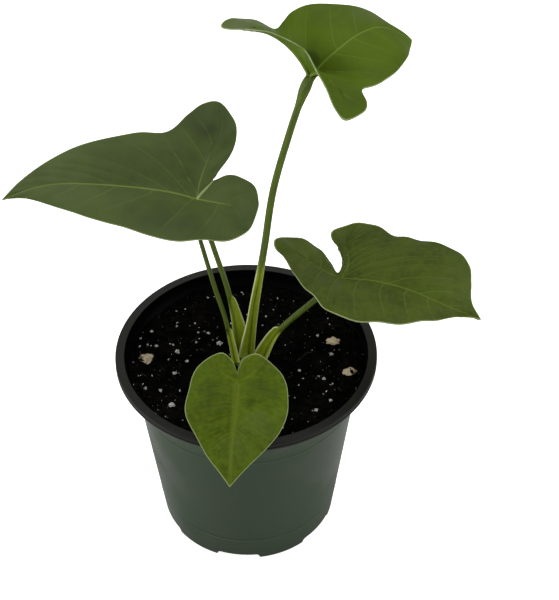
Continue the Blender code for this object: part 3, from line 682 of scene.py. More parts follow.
def pot_materials():
    """Green outer skin, near-black inner skin as painted shade, and dark grey lip, of moulded
    sheet.
    """
    settings = bpy.context.scene.philodendron_pot
    made = []
    # The inside is near black with almost no shine, as painted shade inside the pot.
    for name, colour, dusty, shine in (("pot outside", settings.outside, 0.35, 0.34),
                                       ("pot inside", settings.inside, 0.10, 0.05),
                                       ("pot lip", settings.lip, 0.15, 0.16)):
        material, tree, shader = new_material(name)
        where = object_place(tree)
        mottle = use_group(tree, "Mottle", {"Broad": 28.0, "Patches": 160.0, "Cells": 1500.0})
        dust = [part * 1.9 + 0.0012 for part in colour]
        shade = layer(tree, mottle["Clouds"], dusty, colour, dust)
        drawn = add_node(tree, "ShaderNodeMapping", {"Vector": where, "Scale": (260.0, 260.0,
                                                                                14.0)})
        scuffs = ramp(tree, speckle(tree, drawn.outputs["Vector"], 1.0, 2.0), 0.62, 0.80)
        shade = layer(tree, scuffs, 0.18, shade, dust)
        spots = add_node(tree, "ShaderNodeTexVoronoi", {"Vector": where, "Scale": 85.0},
                         feature="F1")
        dirt = ramp(tree, spots.outputs["Distance"], 0.055, 0.080, 1.0, 0.0)
        rare = ramp(tree, speckle(tree, where, 38.0, 1.0), 0.47, 0.53)
        shade = layer(tree, dirt, rare, shade, (0.002, 0.002, 0.002))
        feed(tree, shader.inputs, {"Base Color": shade, "Specular IOR Level": shine,
                                   "Roughness": ramp(tree, mottle["Clouds"], 0.0, 1.0, 0.34, 0.46)})
        bump(tree, shader, mottle["Grain"], 0.00006)
        made.append(material)
    return made


def soil_material():
    """Moist peat: near black, with brown bits."""
    peat = bpy.context.scene.philodendron_soil.peat
    material, tree, shader = new_material("peat")
    mottle = use_group(tree, "Mottle", {"Broad": 90.0, "Patches": 420.0, "Cells": 2600.0})
    shade = blend(tree, mottle["Blotches"], peat, tinted(peat, 4.2))
    shade = blend(tree, mottle["Clouds"], tinted(peat, 0.5), shade)
    feed(tree, shader.inputs, {"Base Color": shade, "Roughness": 0.9, "Specular IOR Level": 0.03})
    bump(tree, shader, mottle["Grain"], 0.0005)
    return material


def grain_material(name, colour, dirt):
    """Loose bits: perlite, bark or wood, stained by peat in blotches."""
    peat = bpy.context.scene.philodendron_soil.peat
    material, tree, shader = new_material(name)
    mottle = use_group(tree, "Mottle", {"Broad": 400.0, "Patches": 900.0, "Cells": 4000.0})
    shade = layer(tree, mottle["Blotches"], dirt, colour, peat)
    shade = layer(tree, mottle["Clouds"], 0.35, shade, tinted(colour, 0.55))
    feed(tree, shader.inputs, {"Base Color": shade, "Roughness": 0.85, "Specular IOR Level": 0.25})
    bump(tree, shader, mottle["Grain"], 0.0002)
    return material


def floor_material():
    """Plain pale floor that the camera sees as a white sweep."""
    colour = bpy.context.scene.philodendron_stage.floor
    material, tree, shader = new_material("pale floor")
    even = ramp(tree, speckle(tree, object_place(tree), 30.0), 0.3, 0.7)
    seen = tree.nodes.new("ShaderNodeLightPath").outputs["Is Camera Ray"]
    feed(tree, shader.inputs, {"Base Color": blend(tree, even, tinted(colour, 0.98), colour),
                               "Roughness": 0.9, "Emission Color": (1.0, 1.0, 1.0),
                               "Emission Strength": times(tree, seen, 0.85)})
    return material


def build_shared():
    """Shared shader groups, once."""
    if "Mottle" not in bpy.data.node_groups:
        build_mottle_group()
        build_vein_group()


# --- pot -----------------------------------------------------------------------

def turned(name, profile):
    """A closed shape turned about Z from (radius, height) points that run down its outer side."""
    work = bmesh.new()
    corners = [work.verts.new((r, 0.0, z)) for r, z in profile]
    for first, second in zip(corners, corners[1:]):
        work.edges.new((first, second))
    piece = add_piece(name, mesh_from(name, work))
    screw = piece.modifiers.new("Turn", "SCREW")
    screw.axis = "Z"
    screw.steps = POT_STEPS
    screw.render_steps = POT_STEPS
    screw.use_merge_vertices = True
    screw.merge_threshold = 0.00001
    screw.use_smooth_shade = True
    settle(piece)
    return piece


def bead(radius, height, slope):
    """Points of a faint ring that stands out of a wall, with flat wall on either side."""
    points = []
    for shift, rise in ((3.0, 0.0), (1.2, 0.0), (0.5, 0.2), (-0.5, 0.2), (-1.2, 0.0), (-3.0, 0.0)):
        points.append((radius + slope * shift * BEAD_SIZE + rise * BEAD_SIZE,
                       height + shift * BEAD_SIZE))
    return points


def wall_slope(settings):
    """How much the wall widens for each metre of height."""
    neck_z = settings.height - settings.wall - NECK_DROP
    return (settings.neck_radius - settings.base_radius) / (neck_z - FOOT_ROUND)


def wall_radius(settings, height):
    """Outer radius of the tapering wall at a height."""
    return settings.base_radius + wall_slope(settings) * (height - FOOT_ROUND)


def pot_profile(settings, inner):
    """Outside of the pot from the middle of the top, or the inside of it, down to the floor."""
    wall, top, rim = settings.wall, settings.height, settings.rim_radius
    mouth = rim - LIP_WIDTH
    collar = mouth + wall
    collar_foot = top - COLLAR_DROP
    shoulder = top - SHOULDER_DROP
    slope = wall_slope(settings)
    if inner:
        bevel = 0.0003
        points = [(0.0, top + 0.01), (mouth + bevel, top + 0.01), (mouth + bevel, top)]
        points += arc(mouth + bevel, top - bevel, bevel, 90, 180, 4)
        points += [(mouth - COLLAR_STEP / 2, top - LIP_SKIRT), (mouth - COLLAR_STEP, collar_foot)]
        points.append((wall_radius(settings, shoulder) - wall, shoulder))
        for ring_z in BEAD_HEIGHTS:
            points += bead(wall_radius(settings, ring_z) - wall, ring_z, slope)
        points += arc(settings.base_radius - wall - FOOT_ROUND, FLOOR_THICKNESS + FOOT_ROUND,
                      FOOT_ROUND, 0, -90, 5)
        points.append((0.0, FLOOR_THICKNESS))
        return points
    edge = 0.0006
    points = [(0.0, top)]
    points += arc(rim - edge, top - edge, edge, 90, 20, 6)
    # A fine groove runs round the lip, above its skirt.
    points += [(rim, top - 0.0012), (rim - 0.0004, top - 0.0014), (rim - 0.0004, top - 0.0017),
               (rim, top - 0.0019), (rim, top - LIP_SKIRT + 0.0003),
               (rim - 0.0003, top - LIP_SKIRT),
               (rim - wall, top - LIP_SKIRT)]
    points += [(rim - wall - edge / 2, top - wall), (collar + 0.0004, top - wall)]
    points += [(collar - 0.0003, top - wall - 0.0010), (collar - COLLAR_STEP, collar_foot)]
    points.append((wall_radius(settings, shoulder), shoulder))
    for ring_z in BEAD_HEIGHTS:
        points += bead(wall_radius(settings, ring_z), ring_z, slope)
    points += arc(settings.base_radius - FOOT_ROUND, FOOT_ROUND, FOOT_ROUND, 0, -90, 6)
    points.append((0.0, 0.0))
    return points


def notch_block(name, settings, grow):
    """Six radial bars round the foot, whose rounded tops arch over the notches."""
    half = NOTCH_HALF + grow
    height = settings.notch_height + grow
    lean, corner = 0.0009, 0.0016
    reaches = (settings.base_radius - NOTCH_DEPTH - grow, settings.rim_radius)
    section = [(half + lean, -0.004), (half, 0.0)]
    section += [(half - lean - corner + x, height - corner + z)
                for x, z in arc(0.0, 0.0, corner, 0, 90, 6)]
    section += [(-x, z) for x, z in reversed(section)]
    work = bmesh.new()
    for i in range(NOTCHES):
        turn = Matrix.Rotation(NOTCH_START + math.tau * i / NOTCHES, 4, "Z")
        inner, outer = ([work.verts.new(turn @ Vector((reach, x, z))) for x, z in section]
                        for reach in reaches)
        for j in range(len(section)):
            k = (j + 1) % len(section)
            work.faces.new((inner[j], inner[k], outer[k], outer[j]))
        work.faces.new(inner[::-1])
        work.faces.new(outer)
    bmesh.ops.recalc_face_normals(work, faces=work.faces)
    return add_piece(name, mesh_from(name, work))


def drain_block(settings):
    """A round hole up through the roof of each notch."""
    work = bmesh.new()
    reach = settings.base_radius - NOTCH_DEPTH / 2 - CLEARANCE
    for i in range(NOTCHES):
        angle = NOTCH_START + math.tau * i / NOTCHES
        place = Matrix.Translation((reach * math.cos(angle), reach * math.sin(angle),
                                    settings.notch_height))
        bmesh.ops.create_cone(work, cap_ends=True, segments=28, radius1=DRAIN_RADIUS,
                              radius2=DRAIN_RADIUS, depth=2 * settings.notch_height, matrix=place)
    return add_piece("drain_block", mesh_from("drain_block", work))


def cut(piece, cutter):
    """Take the cutter away from the piece, and delete it."""
    modifier = piece.modifiers.new("Cut", "BOOLEAN")
    modifier.operation = "DIFFERENCE"
    modifier.solver = "EXACT"
    modifier.object = cutter
    settle(piece)
    bpy.data.objects.remove(cutter, do_unlink=True)


def paint_pot(mesh, settings):
    """Dark grey for the lip, near black as painted shade for every inward-looking face, green for
    the rest.
    """
    lip_foot = settings.height - LIP_SKIRT - 0.0004
    for face in mesh.polygons:
        middle = face.center
        radius = math.hypot(middle.x, middle.y)
        outward = Vector((middle.x, middle.y, 0.0)).normalized().dot(face.normal)
        inside = radius < settings.base_radius - 0.002 and middle.z > 0.001
        if middle.z > lip_foot and (outward > -0.2 or middle.z > settings.height - 0.0002):
            face.material_index = 2
        else:
            face.material_index = 1 if outward < -0.2 or inside else 0


# --- soil ----------------------------------------------------------------------

def soil_lift(x, y):
    """How far the soil stands above or below its level; its edge is higher at the front."""
    lumps = bpy.context.scene.philodendron_soil.lumps
    spot = Vector((x, y, 0.0))
    lift = noise.noise(spot * 70.0) * 0.9
    lift += noise.noise(spot * 210.0 + UP * 3.0) * 0.55
    lift += abs(noise.noise(spot * 520.0 + UP * 7.0)) * 0.75 - 0.15
    reach = math.hypot(x, y)
    front = 0.5 - 0.5 * y / max(reach, 0.001)
    return lift * lumps + FRONT_RISE * front * smooth_step(0.036, 0.047, reach)


def soil_radius(settings, height):
    """Radius of the soil at a height: the tapering wall, then the wider collar under the lip."""
    radius = wall_radius(settings, height) - settings.wall - CLEARANCE
    widened = settings.rim_radius - LIP_WIDTH - COLLAR_STEP - CLEARANCE
    share = (height - (settings.height - SHOULDER_DROP)) / (SHOULDER_DROP - COLLAR_DROP)
    return radius + (widened - radius) * min(1.0, max(0.0, share))


def soil_top_mesh(pot):
    """Open disc of uneven soil surface."""
    work = bmesh.new()
    around = soil_radius(pot, SOIL_TOP)
    middle = work.verts.new((0.0, 0.0, SOIL_TOP + soil_lift(0.0, 0.0)))
    ways = []
    for spoke in range(SOIL_SPOKES):
        angle = math.tau * spoke / SOIL_SPOKES
        way = (math.cos(angle), math.sin(angle))
        rise = soil_lift(way[0] * around, way[1] * around)
        edge = soil_radius(pot, SOIL_TOP + rise) - CLEARANCE
        ways.append((way[0] * edge, way[1] * edge))
    before = None
    for ring in range(1, SOIL_RINGS + 1):
        share = ring / SOIL_RINGS
        row = [work.verts.new((x * share, y * share, SOIL_TOP + soil_lift(x * share, y * share)))
               for x, y in ways]
        for spoke in range(SOIL_SPOKES):
            following = (spoke + 1) % SOIL_SPOKES
            if before:
                work.faces.new((before[spoke], row[spoke], row[following], before[following]))
            else:
                work.faces.new((middle, row[spoke], row[following]))
        before = row
    return mesh_from("soil_top", work)


def soil_mesh(pot, top):
    """The surface closed by a tapering side and a flat bottom above the pot's feet."""
    work = bmesh.new()
    work.from_mesh(top)
    rim = [edge for edge in work.edges if edge.is_boundary]
    for height in SOIL_LEVELS:
        sunk = bmesh.ops.extrude_edge_only(work, edges=rim)["geom"]
        corners = [part for part in sunk if isinstance(part, bmesh.types.BMVert)]
        rim = [part for part in sunk if isinstance(part, bmesh.types.BMEdge)]
        radius = soil_radius(pot, height)
        for corner in corners:
            flat = Vector((corner.co.x, corner.co.y, 0.0)).normalized() * radius
            corner.co = (flat.x, flat.y, height)
    bmesh.ops.contextual_create(work, geom=rim)
    bmesh.ops.recalc_face_normals(work, faces=work.faces)
    return mesh_from("potting_soil_fine", work)


def build_scatter_tree():
    """Geometry nodes that strew irregular bits over a surface."""
    tree = bpy.data.node_groups.new("Strew bits", "GeometryNodeTree")
    face = tree.interface
    face.new_socket(name="Surface", in_out="INPUT", socket_type="NodeSocketGeometry")
    for label, default in (("Density", 100000.0), ("Smallest", 0.0002), ("Largest", 0.0008),
                           ("Length", 1.0), ("Flatness", 0.7), ("Tilt", math.tau),
                           ("Roughness", 0.35)):
        face.new_socket(name=label, in_out="INPUT",
                        socket_type="NodeSocketFloat").default_value = default
    face.new_socket(name="Seed", in_out="INPUT", socket_type="NodeSocketInt")
    face.new_socket(name="Material", in_out="INPUT", socket_type="NodeSocketMaterial")
    face.new_socket(name="Bits", in_out="OUTPUT", socket_type="NodeSocketGeometry")
    given = tree.nodes.new("NodeGroupInput").outputs
    made = tree.nodes.new("NodeGroupOutput").inputs

    def chance(low, high, shift):
        """A number between low and high; shift sets its draw apart from the others."""
        node = add_node(tree, "FunctionNodeRandomValue", data_type="FLOAT")
        active = {socket.name: socket for socket in node.inputs if socket.enabled}
        feed(tree, active, {"Min": low, "Max": high, "Seed": maths(tree, "ADD", given["Seed"],
                                                                   shift)})
        return next(socket for socket in node.outputs if socket.enabled)

    points = add_node(tree, "GeometryNodeDistributePointsOnFaces",
                      {"Mesh": given["Surface"], "Density": given["Density"],
                       "Seed": given["Seed"]})
    lump = add_node(tree, "GeometryNodeMeshIcoSphere", {"Radius": 1.0, "Subdivisions": 2})
    # The power makes small bits common and large ones rare.
    size = maths(tree, "POWER", chance(0.0, 1.0, 11.0), 2.6)
    width = add_node(tree, "ShaderNodeMapRange", {"Value": size, "To Min": given["Smallest"],
                                                  "To Max": given["Largest"]}).outputs["Result"]
    scale = add_node(tree, "ShaderNodeCombineXYZ", {"X": times(tree, width, given["Length"]),
                                                    "Y": times(tree, width, chance(0.6, 1.0, 23.0)),
                                                    "Z": times(tree, width, given["Flatness"])})
    turn = add_node(tree, "ShaderNodeCombineXYZ", {"X": chance(0.0, given["Tilt"], 31.0),
                                                   "Y": chance(0.0, given["Tilt"], 37.0),
                                                   "Z": chance(0.0, math.tau, 41.0)})
    spread = add_node(tree, "GeometryNodeInstanceOnPoints",
                      {"Points": points.outputs["Points"], "Instance": lump.outputs["Mesh"],
                       "Rotation": turn.outputs[0], "Scale": scale.outputs[0]})
    kept = add_node(tree, "GeometryNodeStoreNamedAttribute",
                    {"Geometry": spread.outputs["Instances"], "Name": "bit_size", "Value": width},
                    data_type="FLOAT", domain="INSTANCE")
    solid = add_node(tree, "GeometryNodeRealizeInstances", {"Geometry": kept.outputs["Geometry"]})
    reading = add_node(tree, "GeometryNodeInputNamedAttribute", {"Name": "bit_size"},
                       data_type="FLOAT")
    bit_size = next(socket for socket in reading.outputs
                    if socket.enabled and socket.name == "Attribute")
    place = tree.nodes.new("GeometryNodeInputPosition").outputs[0]
    ripple = add_node(tree, "ShaderNodeTexNoise", {"Vector": place, "Scale": 1300.0, "Detail": 1.0})
    centred = add_node(tree, "ShaderNodeVectorMath", {0: ripple.outputs["Color"],
                                                      1: (0.5, 0.5, 0.5)},
                       operation="SUBTRACT")
    reach = times(tree, bit_size, times(tree, given["Roughness"], 4.0))
    push = add_node(tree, "ShaderNodeVectorMath", {0: centred.outputs[0], "Scale": reach},
                    operation="SCALE")
    rough = add_node(tree, "GeometryNodeSetPosition",
                     {"Geometry": solid.outputs[0], "Offset": push.outputs[0]})
    finished = add_node(tree, "GeometryNodeSetMaterial",
                        {"Geometry": rough.outputs[0], "Material": given["Material"]})
    feed(tree, made, {"Bits": finished.outputs[0]})
    return tree


def strew(name, surface, values):
    """One kind of loose bit, strewn over the surface and made a plain mesh."""
    tree = bpy.data.node_groups.get("Strew bits") or build_scatter_tree()
    piece = add_piece(name, surface.copy())
    modifier = piece.modifiers.new("Strew", "NODES")
    modifier.node_group = tree
    sockets = {item.name: item.identifier for item in tree.interface.items_tree
               if item.in_out == "INPUT"}
    for label, value in values.items():
        modifier[sockets[label]] = value
    settle(piece)
    return piece


def lump_mesh(node, flatten, rough, seed):
    """One irregular grain that fills a CAD node's box, its foot on the soil."""
    low, high = (Vector(corner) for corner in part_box(node))
    work = bmesh.new()
    bmesh.ops.create_icosphere(work, subdivisions=4, radius=1.0)
    middle = (low + high) / 2
    half = (high - low) / 2
    base = SOIL_TOP + soil_lift(middle.x, middle.y)
    shift = Vector((seed * 3.1, seed * 1.7, seed * 0.9))
    for corner in work.verts:
        along = corner.co.copy()
        swell = 1.0
        for share, scale in ((1.0, 1.3), (0.5, 3.4), (0.25, 8.0)):
            swell += rough * share * noise.noise(along * scale + shift)
        spot = Vector((along.x * half.x, along.y * half.y, along.z * half.z * flatten)) * swell
        corner.co = (middle.x + spot.x, middle.y + spot.y, base + half.z * flatten * 0.55 + spot.z)
    return mesh_from(node, work)


# --- leaves --------------------------------------------------------------------

def blade_columns(leaf, half):
    """(share along, point on the rib, point on the margin) from the tip round to the sinus."""
    per_span = 12
    tip, hub = Vector(leaf["tip"]), Vector((0.0, 0.0, 0.0))
    front, outer, inner = ([Vector(p) for p in half[key]] for key in ("front", "outer", "inner"))
    margin = curve_through([tip] + front + outer + inner + [Vector(leaf["sinus"])], per_span)
    shoulder = per_span * len(front)
    lobe = shoulder + per_span * len(outer)
    midrib = curve_through([tip] + [Vector(p) for p in reversed(leaf["midrib"])] + [hub], per_span)
    vein = curve_through([hub] + [Vector(p) for p in half["vein"]], per_span)
    ribs = evenly(midrib, FRONT_COLUMNS)
    ribs += evenly(vein, LOBE_COLUMNS)[1:] + evenly(vein[::-1], LOBE_COLUMNS)[1:]
    edges = evenly(margin[:shoulder + 1], FRONT_COLUMNS)
    for start, end in ((shoulder, lobe + 1), (lobe, len(margin))):
        edges += evenly(margin[start:end], LOBE_COLUMNS)[1:]
    shares = [i / FRONT_COLUMNS for i in range(FRONT_COLUMNS + 1)]
    for past in (1, 2):
        shares += [past + i / LOBE_COLUMNS for i in range(1, LOBE_COLUMNS + 1)]
    return list(zip(shares, ribs, edges))


def vein_shares(half, out):
    """Where each side vein runs, as shares along the blade, at a share of the way out."""
    shares = ((out - 0.5) * (out - 1) * 2, -out * (out - 1) * 4, out * (out - 0.5) * 2)
    return [sum(place * part for place, part in zip(vein, shares)) for vein in half["side_veins"]]


def vein_phase(found, share):
    """(phase, gap): whole numbers lie on the side veins; the gap is to the next one."""
    if share <= found[0]:
        gap = found[1] - found[0]
        return max(-0.5, (share - found[0]) / gap), gap
    for number in range(len(found) - 1):
        if share <= found[number + 1]:
            gap = found[number + 1] - found[number]
            return number + (share - found[number]) / gap, gap
    gap = found[-1] - found[-2]
    return len(found) - 1 + min(0.5, (share - found[-1]) / gap), gap


def blade_painted_light(leaf, spot):
    """Painted shade (below 0) and painted highlight (above 0) round given places of the blade."""
    tone = 0.0
    for x, y, radius, strength in leaf["painted_shade_and_highlight"]:
        tone += strength * math.exp(-((spot.x - x) ** 2 + (spot.y - y) ** 2) / radius ** 2)
    tone *= 1.0 + 0.9 * noise.noise(Vector((spot.x, spot.y, 20.0)) * 0.16)
    # A disc of painted shadow beside the petiole, with a sharp edge.
    if "painted_hollow_shadow" in leaf:
        x, y, radius = leaf["painted_hollow_shadow"]
        tone -= 0.75 - 0.75 * smooth_step(-0.3, 0.3, math.hypot(spot.x - x, spot.y - y) - radius)
    return max(-1.0, min(1.0, tone))


def rib_half(share):
    """Half-width of the rib in millimetres: thin at the tip and the lobes' ends."""
    return RIB_TIP_HALF + (RIB_HALF - RIB_TIP_HALF) * (share if share < 1 else abs(share - 2))


def half_blade(leaf, half):
    """Grid of (place, vein map, reach map, thickness share, lift) in millimetres for one side."""
    columns = blade_columns(leaf, half)
    found_by_row = [vein_shares(half, row / BLADE_ROWS) for row in range(BLADE_ROWS + 1)]
    grid = []
    for index, (share, rib, margin) in enumerate(columns):
        width = (margin - rib).length
        ahead = columns[min(index + 1, len(columns) - 1)]
        behind = columns[max(index - 1, 0)]
        rib_here = rib_half(share)
        keep = smooth_step(0.0, 0.12, 3.0 - share)
        flatter = 1.0 if share < 1 else 0.25 + 0.75 * abs(share - 2)
        wave = leaf["wave"] * min(1.0, width / 15) * keep * math.sin(
            share * leaf["waves"] * math.pi + len(half["side_veins"]))
        line = []
        for row in range(BLADE_ROWS + 1):
            out = row / BLADE_ROWS
            spot = rib.lerp(margin, out)
            phase, gap = vein_phase(found_by_row[row], share)
            pace = (ahead[1].lerp(ahead[2], out) - behind[1].lerp(behind[2], out)).length
            gap_mm = gap * pace / max(0.0001, ahead[0] - behind[0])
            from_rib = out * width
            to_edge = (1 - out) * width
            if leaf["seam"]:
                to_edge = min(to_edge, (3 - share) * leaf["seam"])
            side_half = SIDE_VEIN_HALF * (1 - 0.6 * out)
            near = abs(phase - round(phase)) * gap_mm / side_half
            rib_ratio = from_rib / rib_here * (1.0 if share < 1 else leaf["basal"])
            outer = min(1.0, from_rib) * keep
            swell = math.sin(math.pi * out) * outer
            between = 0.5 - 0.5 * math.cos(math.tau * phase)
            pleat = noise.noise(Vector((spot.x * 0.75, spot.y * 0.40, 5.0)))
            lift = leaf["dome"] * width * 4 * out * (1 - out) * keep * flatter
            lift += leaf["quilt"] * between * min(1.0, gap_mm / 5.0) * swell
            lift -= SIDE_GROOVE * math.exp(-(near / 1.8) ** 2) * outer * (1 - 0.7 * out)
            lift -= RIB_GROOVE * (rib_here / RIB_HALF) * math.exp(-rib_ratio ** 2)
            lift += wave * out ** 3
            lift += leaf["pucker"] * pleat * swell
            lift += UNEVEN * noise.noise(spot * 0.09) * min(1.0, from_rib / 4) * keep
            thick = SHEET_SHARE
            thick += RIB_SHARE * (rib_here / RIB_HALF) * math.exp(-(rib_ratio / 1.3) ** 2)
            thick += SIDE_SHARE * math.exp(-(near / 2.0) ** 2) * outer
            line.append((spot, (phase, gap_mm / side_half), (rib_ratio, to_edge), thick, lift))
        grid.append(line)
    return grid


def relax(work, hub, rounds):
    """Soften the folds along the basal veins, but not the margin or the spot over the petiole."""
    inner = [corner for corner in work.verts
             if not corner.is_boundary and (corner.co - hub).length > 0.003]
    for _ in range(rounds):
        bmesh.ops.smooth_vert(work, verts=inner, factor=0.5,
                              use_axis_x=True, use_axis_y=True, use_axis_z=True)
    work.normal_update()


def leaf_turn(leaf):
    """How a blade is turned from lying flat, as a matrix."""
    return Euler([math.radians(angle) for angle in leaf["turn"]]).to_matrix()


def make_leaf(key, materials):
    """One heart-shaped blade with ribs, quilting and a thin pale edge."""
    leaf = LEAVES[key]
    place = Matrix.Translation(Vector(leaf["spot"]) + UP * SOIL_TOP) @ leaf_turn(leaf).to_4x4()
    work = bmesh.new()
    veins = work.loops.layers.uv.new("veins")
    reach = work.loops.layers.uv.new("reach")
    weights = work.verts.layers.deform.verify()
    lifts = work.verts.layers.float.new("lift")
    # Each corner keeps its level of painted shade (below 0) and painted highlight (above 0).
    painted_shade_and_highlight = work.verts.layers.float.new("tone")
    for side, half in enumerate(leaf["halves"]):
        grid = half_blade(leaf, half)
        corners = []
        for line in grid:
            row = []
            for spot, _, _, thick, lift in line:
                corner = work.verts.new(place @ (spot * MM))
                corner[weights][0] = thick
                corner[lifts] = lift * MM
                corner[painted_shade_and_highlight] = blade_painted_light(leaf, spot)
                row.append(corner)
            corners.append(row)
        for index in range(len(grid) - 1):
            for row in range(BLADE_ROWS):
                cells = [(index, row), (index + 1, row), (index + 1, row + 1), (index, row + 1)]
                if side == 0:
                    cells.reverse()
                face = work.faces.new([corners[i][j] for i, j in cells])
                for loop, (i, j) in zip(face.loops, cells):
                    loop[veins].uv = grid[i][j][1]
                    loop[reach].uv = grid[i][j][2]
    bmesh.ops.remove_doubles(work, verts=work.verts, dist=0.00001)
    bmesh.ops.dissolve_degenerate(work, edges=work.edges, dist=0.000001)
    relax(work, place.translation, leaf["ease"])
    for corner in work.verts:
        corner.co += corner.normal * corner[lifts]
    name = "blade_" + key
    piece = add_piece(name, mesh_from(name, work), materials)
    piece.vertex_groups.new(name="Thickness")
    solid = piece.modifiers.new("Thickness", "SOLIDIFY")
    solid.thickness = SHEET_SCALE
    solid.offset = -1.0
    solid.vertex_group = "Thickness"
    solid.material_offset = 1
    solid.material_offset_rim = 2
    settle(piece)
    return piece


# --- petioles ------------------------------------------------------------------

def stalk_section(plan, share):
    """Half-widths of both wings, depth, channel share and how open each side's sheath is."""
    ends = [1.0 - smooth_step(plan["sheath_end"] - closing, plan["sheath_end"], share)
            for closing in plan["closing"]]
    sheathed = max(ends)
    along = min(1.0, share / plan["sheath_end"])
    half = plan["half"] * (1.0 + (plan["neck"] - 1.0) * smooth_step(NECK_START, 1.0, share))
    half *= 1.12 - 0.12 * share
    wings = []
    for (low, high), end in zip((plan["first_wing"], plan["second_wing"]), ends):
        wing = low + (high - low) * along
        wings.append(half + (wing - half) * end)
    wings[0] += plan.get("skirt", 0.0) * (1 - smooth_step(0.0, 0.18, share))
    depth = half + (plan["depth"] - half) * (1 - along) * sheathed
    shallow = 0.05 * (1 - smooth_step(0.85, 0.97, share))
    return wings, depth, max(shallow, sheathed * 0.9), ends


def stalk_maps(work):
    """Two UV maps: round and along the stalk, and how pale and how yellow its sheath is."""
    return [work.loops.layers.uv.new(name) for name in ("wrap", "sheath")]


def loft(work, maps, rows):
    """Skin between rings of (corner, place round, place along, paleness, yellowness)."""
    wrap, sheath = maps
    for lower, upper in zip(rows, rows[1:]):
        for j in range(len(lower)):
            k = (j + 1) % len(lower)
            quad = (lower[j], lower[k], upper[k], upper[j])
            turned_over = (0.0, 1.0, 1.0, 0.0) if k == 0 else (0.0, 0.0, 0.0, 0.0)
            skin = work.faces.new([cell[0] for cell in quad])
            for loop, cell, extra in zip(skin.loops, quad, turned_over):
                loop[wrap].uv = (cell[1] + extra, cell[2])
                loop[sheath].uv = (cell[3], cell[4])
    work.faces.new([cell[0] for cell in rows[0]][::-1])


def stalk_mesh(name, path, plan, last=None):
    """Loft of channelled sections along the path, whose end may be square to a direction."""
    work = bmesh.new()
    maps = stalk_maps(work)
    rows = []
    length = 0.0
    for i, spot in enumerate(path):
        share = i / (len(path) - 1)
        ahead = (path[min(i + 1, len(path) - 1)] - path[max(i - 1, 0)]).normalized()
        settled = smooth_step(NECK_START, 1.0, share) if last is not None else 0.0
        if settled:
            ahead = ahead.lerp(last, settled).normalized()
            spot = spot + last * plan.get("cup", 0.0) * settled ** 2
        face = Vector(plan["face"])
        face = (face - ahead * face.dot(ahead)).normalized()
        side = face.cross(ahead)
        wings, depth, channel, ends = stalk_section(plan, share)
        if i:
            length += (spot - path[i - 1]).length
        row = []
        for j in range(STALK_SIDES):
            angle = math.tau * j / STALK_SIDES
            across, out = math.cos(angle), math.sin(angle)
            wide, end = (wings[0], ends[0]) if across > 0 else (wings[1], ends[1])
            tall = depth * out
            wing_share = abs(across)
            if out > 0:
                hollow = depth * (-0.45 + 1.1 * wing_share ** 2) * (1 - wing_share ** 8)
                tall += channel * (hollow - tall)
            open_here = smooth_step(0.0, 0.35, end)
            pale = open_here * smooth_step(0.74, 0.93, wing_share) * smooth_step(-0.5, 0.0, out)
            yellow = open_here * smooth_step(0.02, 0.26, wing_share)
            corner = work.verts.new(spot + side * wide * across + face * tall)
            row.append((corner, j / STALK_SIDES, length / MM, pale, yellow))
        rows.append(row)
    loft(work, maps, rows)
    middle = work.verts.new(path[-1])
    for cell, following in zip(rows[-1], rows[-1][1:] + rows[-1][:1]):
        work.faces.new((cell[0], following[0], middle))
    return mesh_from(name, work)


def rolled_leaf_mesh(start, aim):
    """A spindle wound up like a scroll and gently bent, from start along aim."""
    across = aim.cross(UP).normalized()
    face = across.cross(aim)
    work = bmesh.new()
    maps = stalk_maps(work)
    rows = []
    for i in range(ROLL_RINGS + 1):
        share = i / ROLL_RINGS
        swell = math.sin(math.pi * share)
        radius = 0.0004 + 0.0017 * math.sqrt(max(0.0, swell))
        bend = face * 0.0012 * swell
        row = []
        for j in range(ROLL_SIDES):
            angle = math.tau * j / ROLL_SIDES
            turn = j / ROLL_SIDES
            roll = radius * (1.0 + 0.16 * turn) * (0.93 + 0.07 * math.cos(angle + share * 5))
            way = across * math.cos(angle) + face * math.sin(angle)
            corner = work.verts.new(start + aim * ROLL_LENGTH * share + bend + way * roll)
            row.append((corner, turn, i * 0.4, 0.0, 0.35))
        rows.append(row)
    loft(work, maps, rows)
    work.faces.new([cell[0] for cell in rows[-1]])
    bmesh.ops.recalc_face_normals(work, faces=work.faces)
    return mesh_from("rolled_leaf", work)


def weld_to_blade(stalk, blade):
    """Draw the last rings of a petiole on to the blade it carries, the last one fully."""
    tree = BVHTree.FromPolygons([corner.co.copy() for corner in blade.data.vertices],
                                [tuple(skin.vertices) for skin in blade.data.polygons])
    corners = stalk.data.vertices
    for back, pull in enumerate((1.0, 0.60, 0.32, 0.15, 0.05)):
        end = (STALK_RINGS + 1 - back) * STALK_SIDES
        for corner in corners[end - STALK_SIDES:end]:
            spot, facing, _, _ = tree.find_nearest(corner.co)
            corner.co = corner.co.lerp(spot - facing * 0.0001, pull)


def stalk_path(plan, end):
    """Even path from the crown along the plan's route to an end; heights are above the soil."""
    foot = Vector((*plan["base"], -0.0005))
    points = [foot] + [Vector(p) for p in plan["route"]] + [end]
    return evenly(curve_through([point + UP * SOIL_TOP for point in points]), STALK_RINGS)


# --- operators -----------------------------------------------------------------

class PotOperator(bpy.types.Operator):
    """Build the nursery pot"""
    bl_idname = "philodendron.pot"
    bl_label = "Nursery Pot"

    def execute(self, context):
        settings = context.scene.philodendron_pot
        cavity = turned("pot_cavity", pot_profile(settings, True))
        cut(cavity, notch_block("notch_pads", settings, settings.wall))
        pot = turned("pot_shell", pot_profile(settings, False))
        cut(pot, cavity)
        cut(pot, notch_block("notches", settings, 0.0))
        cut(pot, drain_block(settings))
        for material in pot_materials():
            pot.data.materials.append(material)
        paint_pot(pot.data, settings)
        pot.data.shade_smooth()
        pot.data.set_sharp_from_angle(angle=math.radians(40))
        stand_for(pot, "pot_plastic", "nursery_pot")
        return {"FINISHED"}


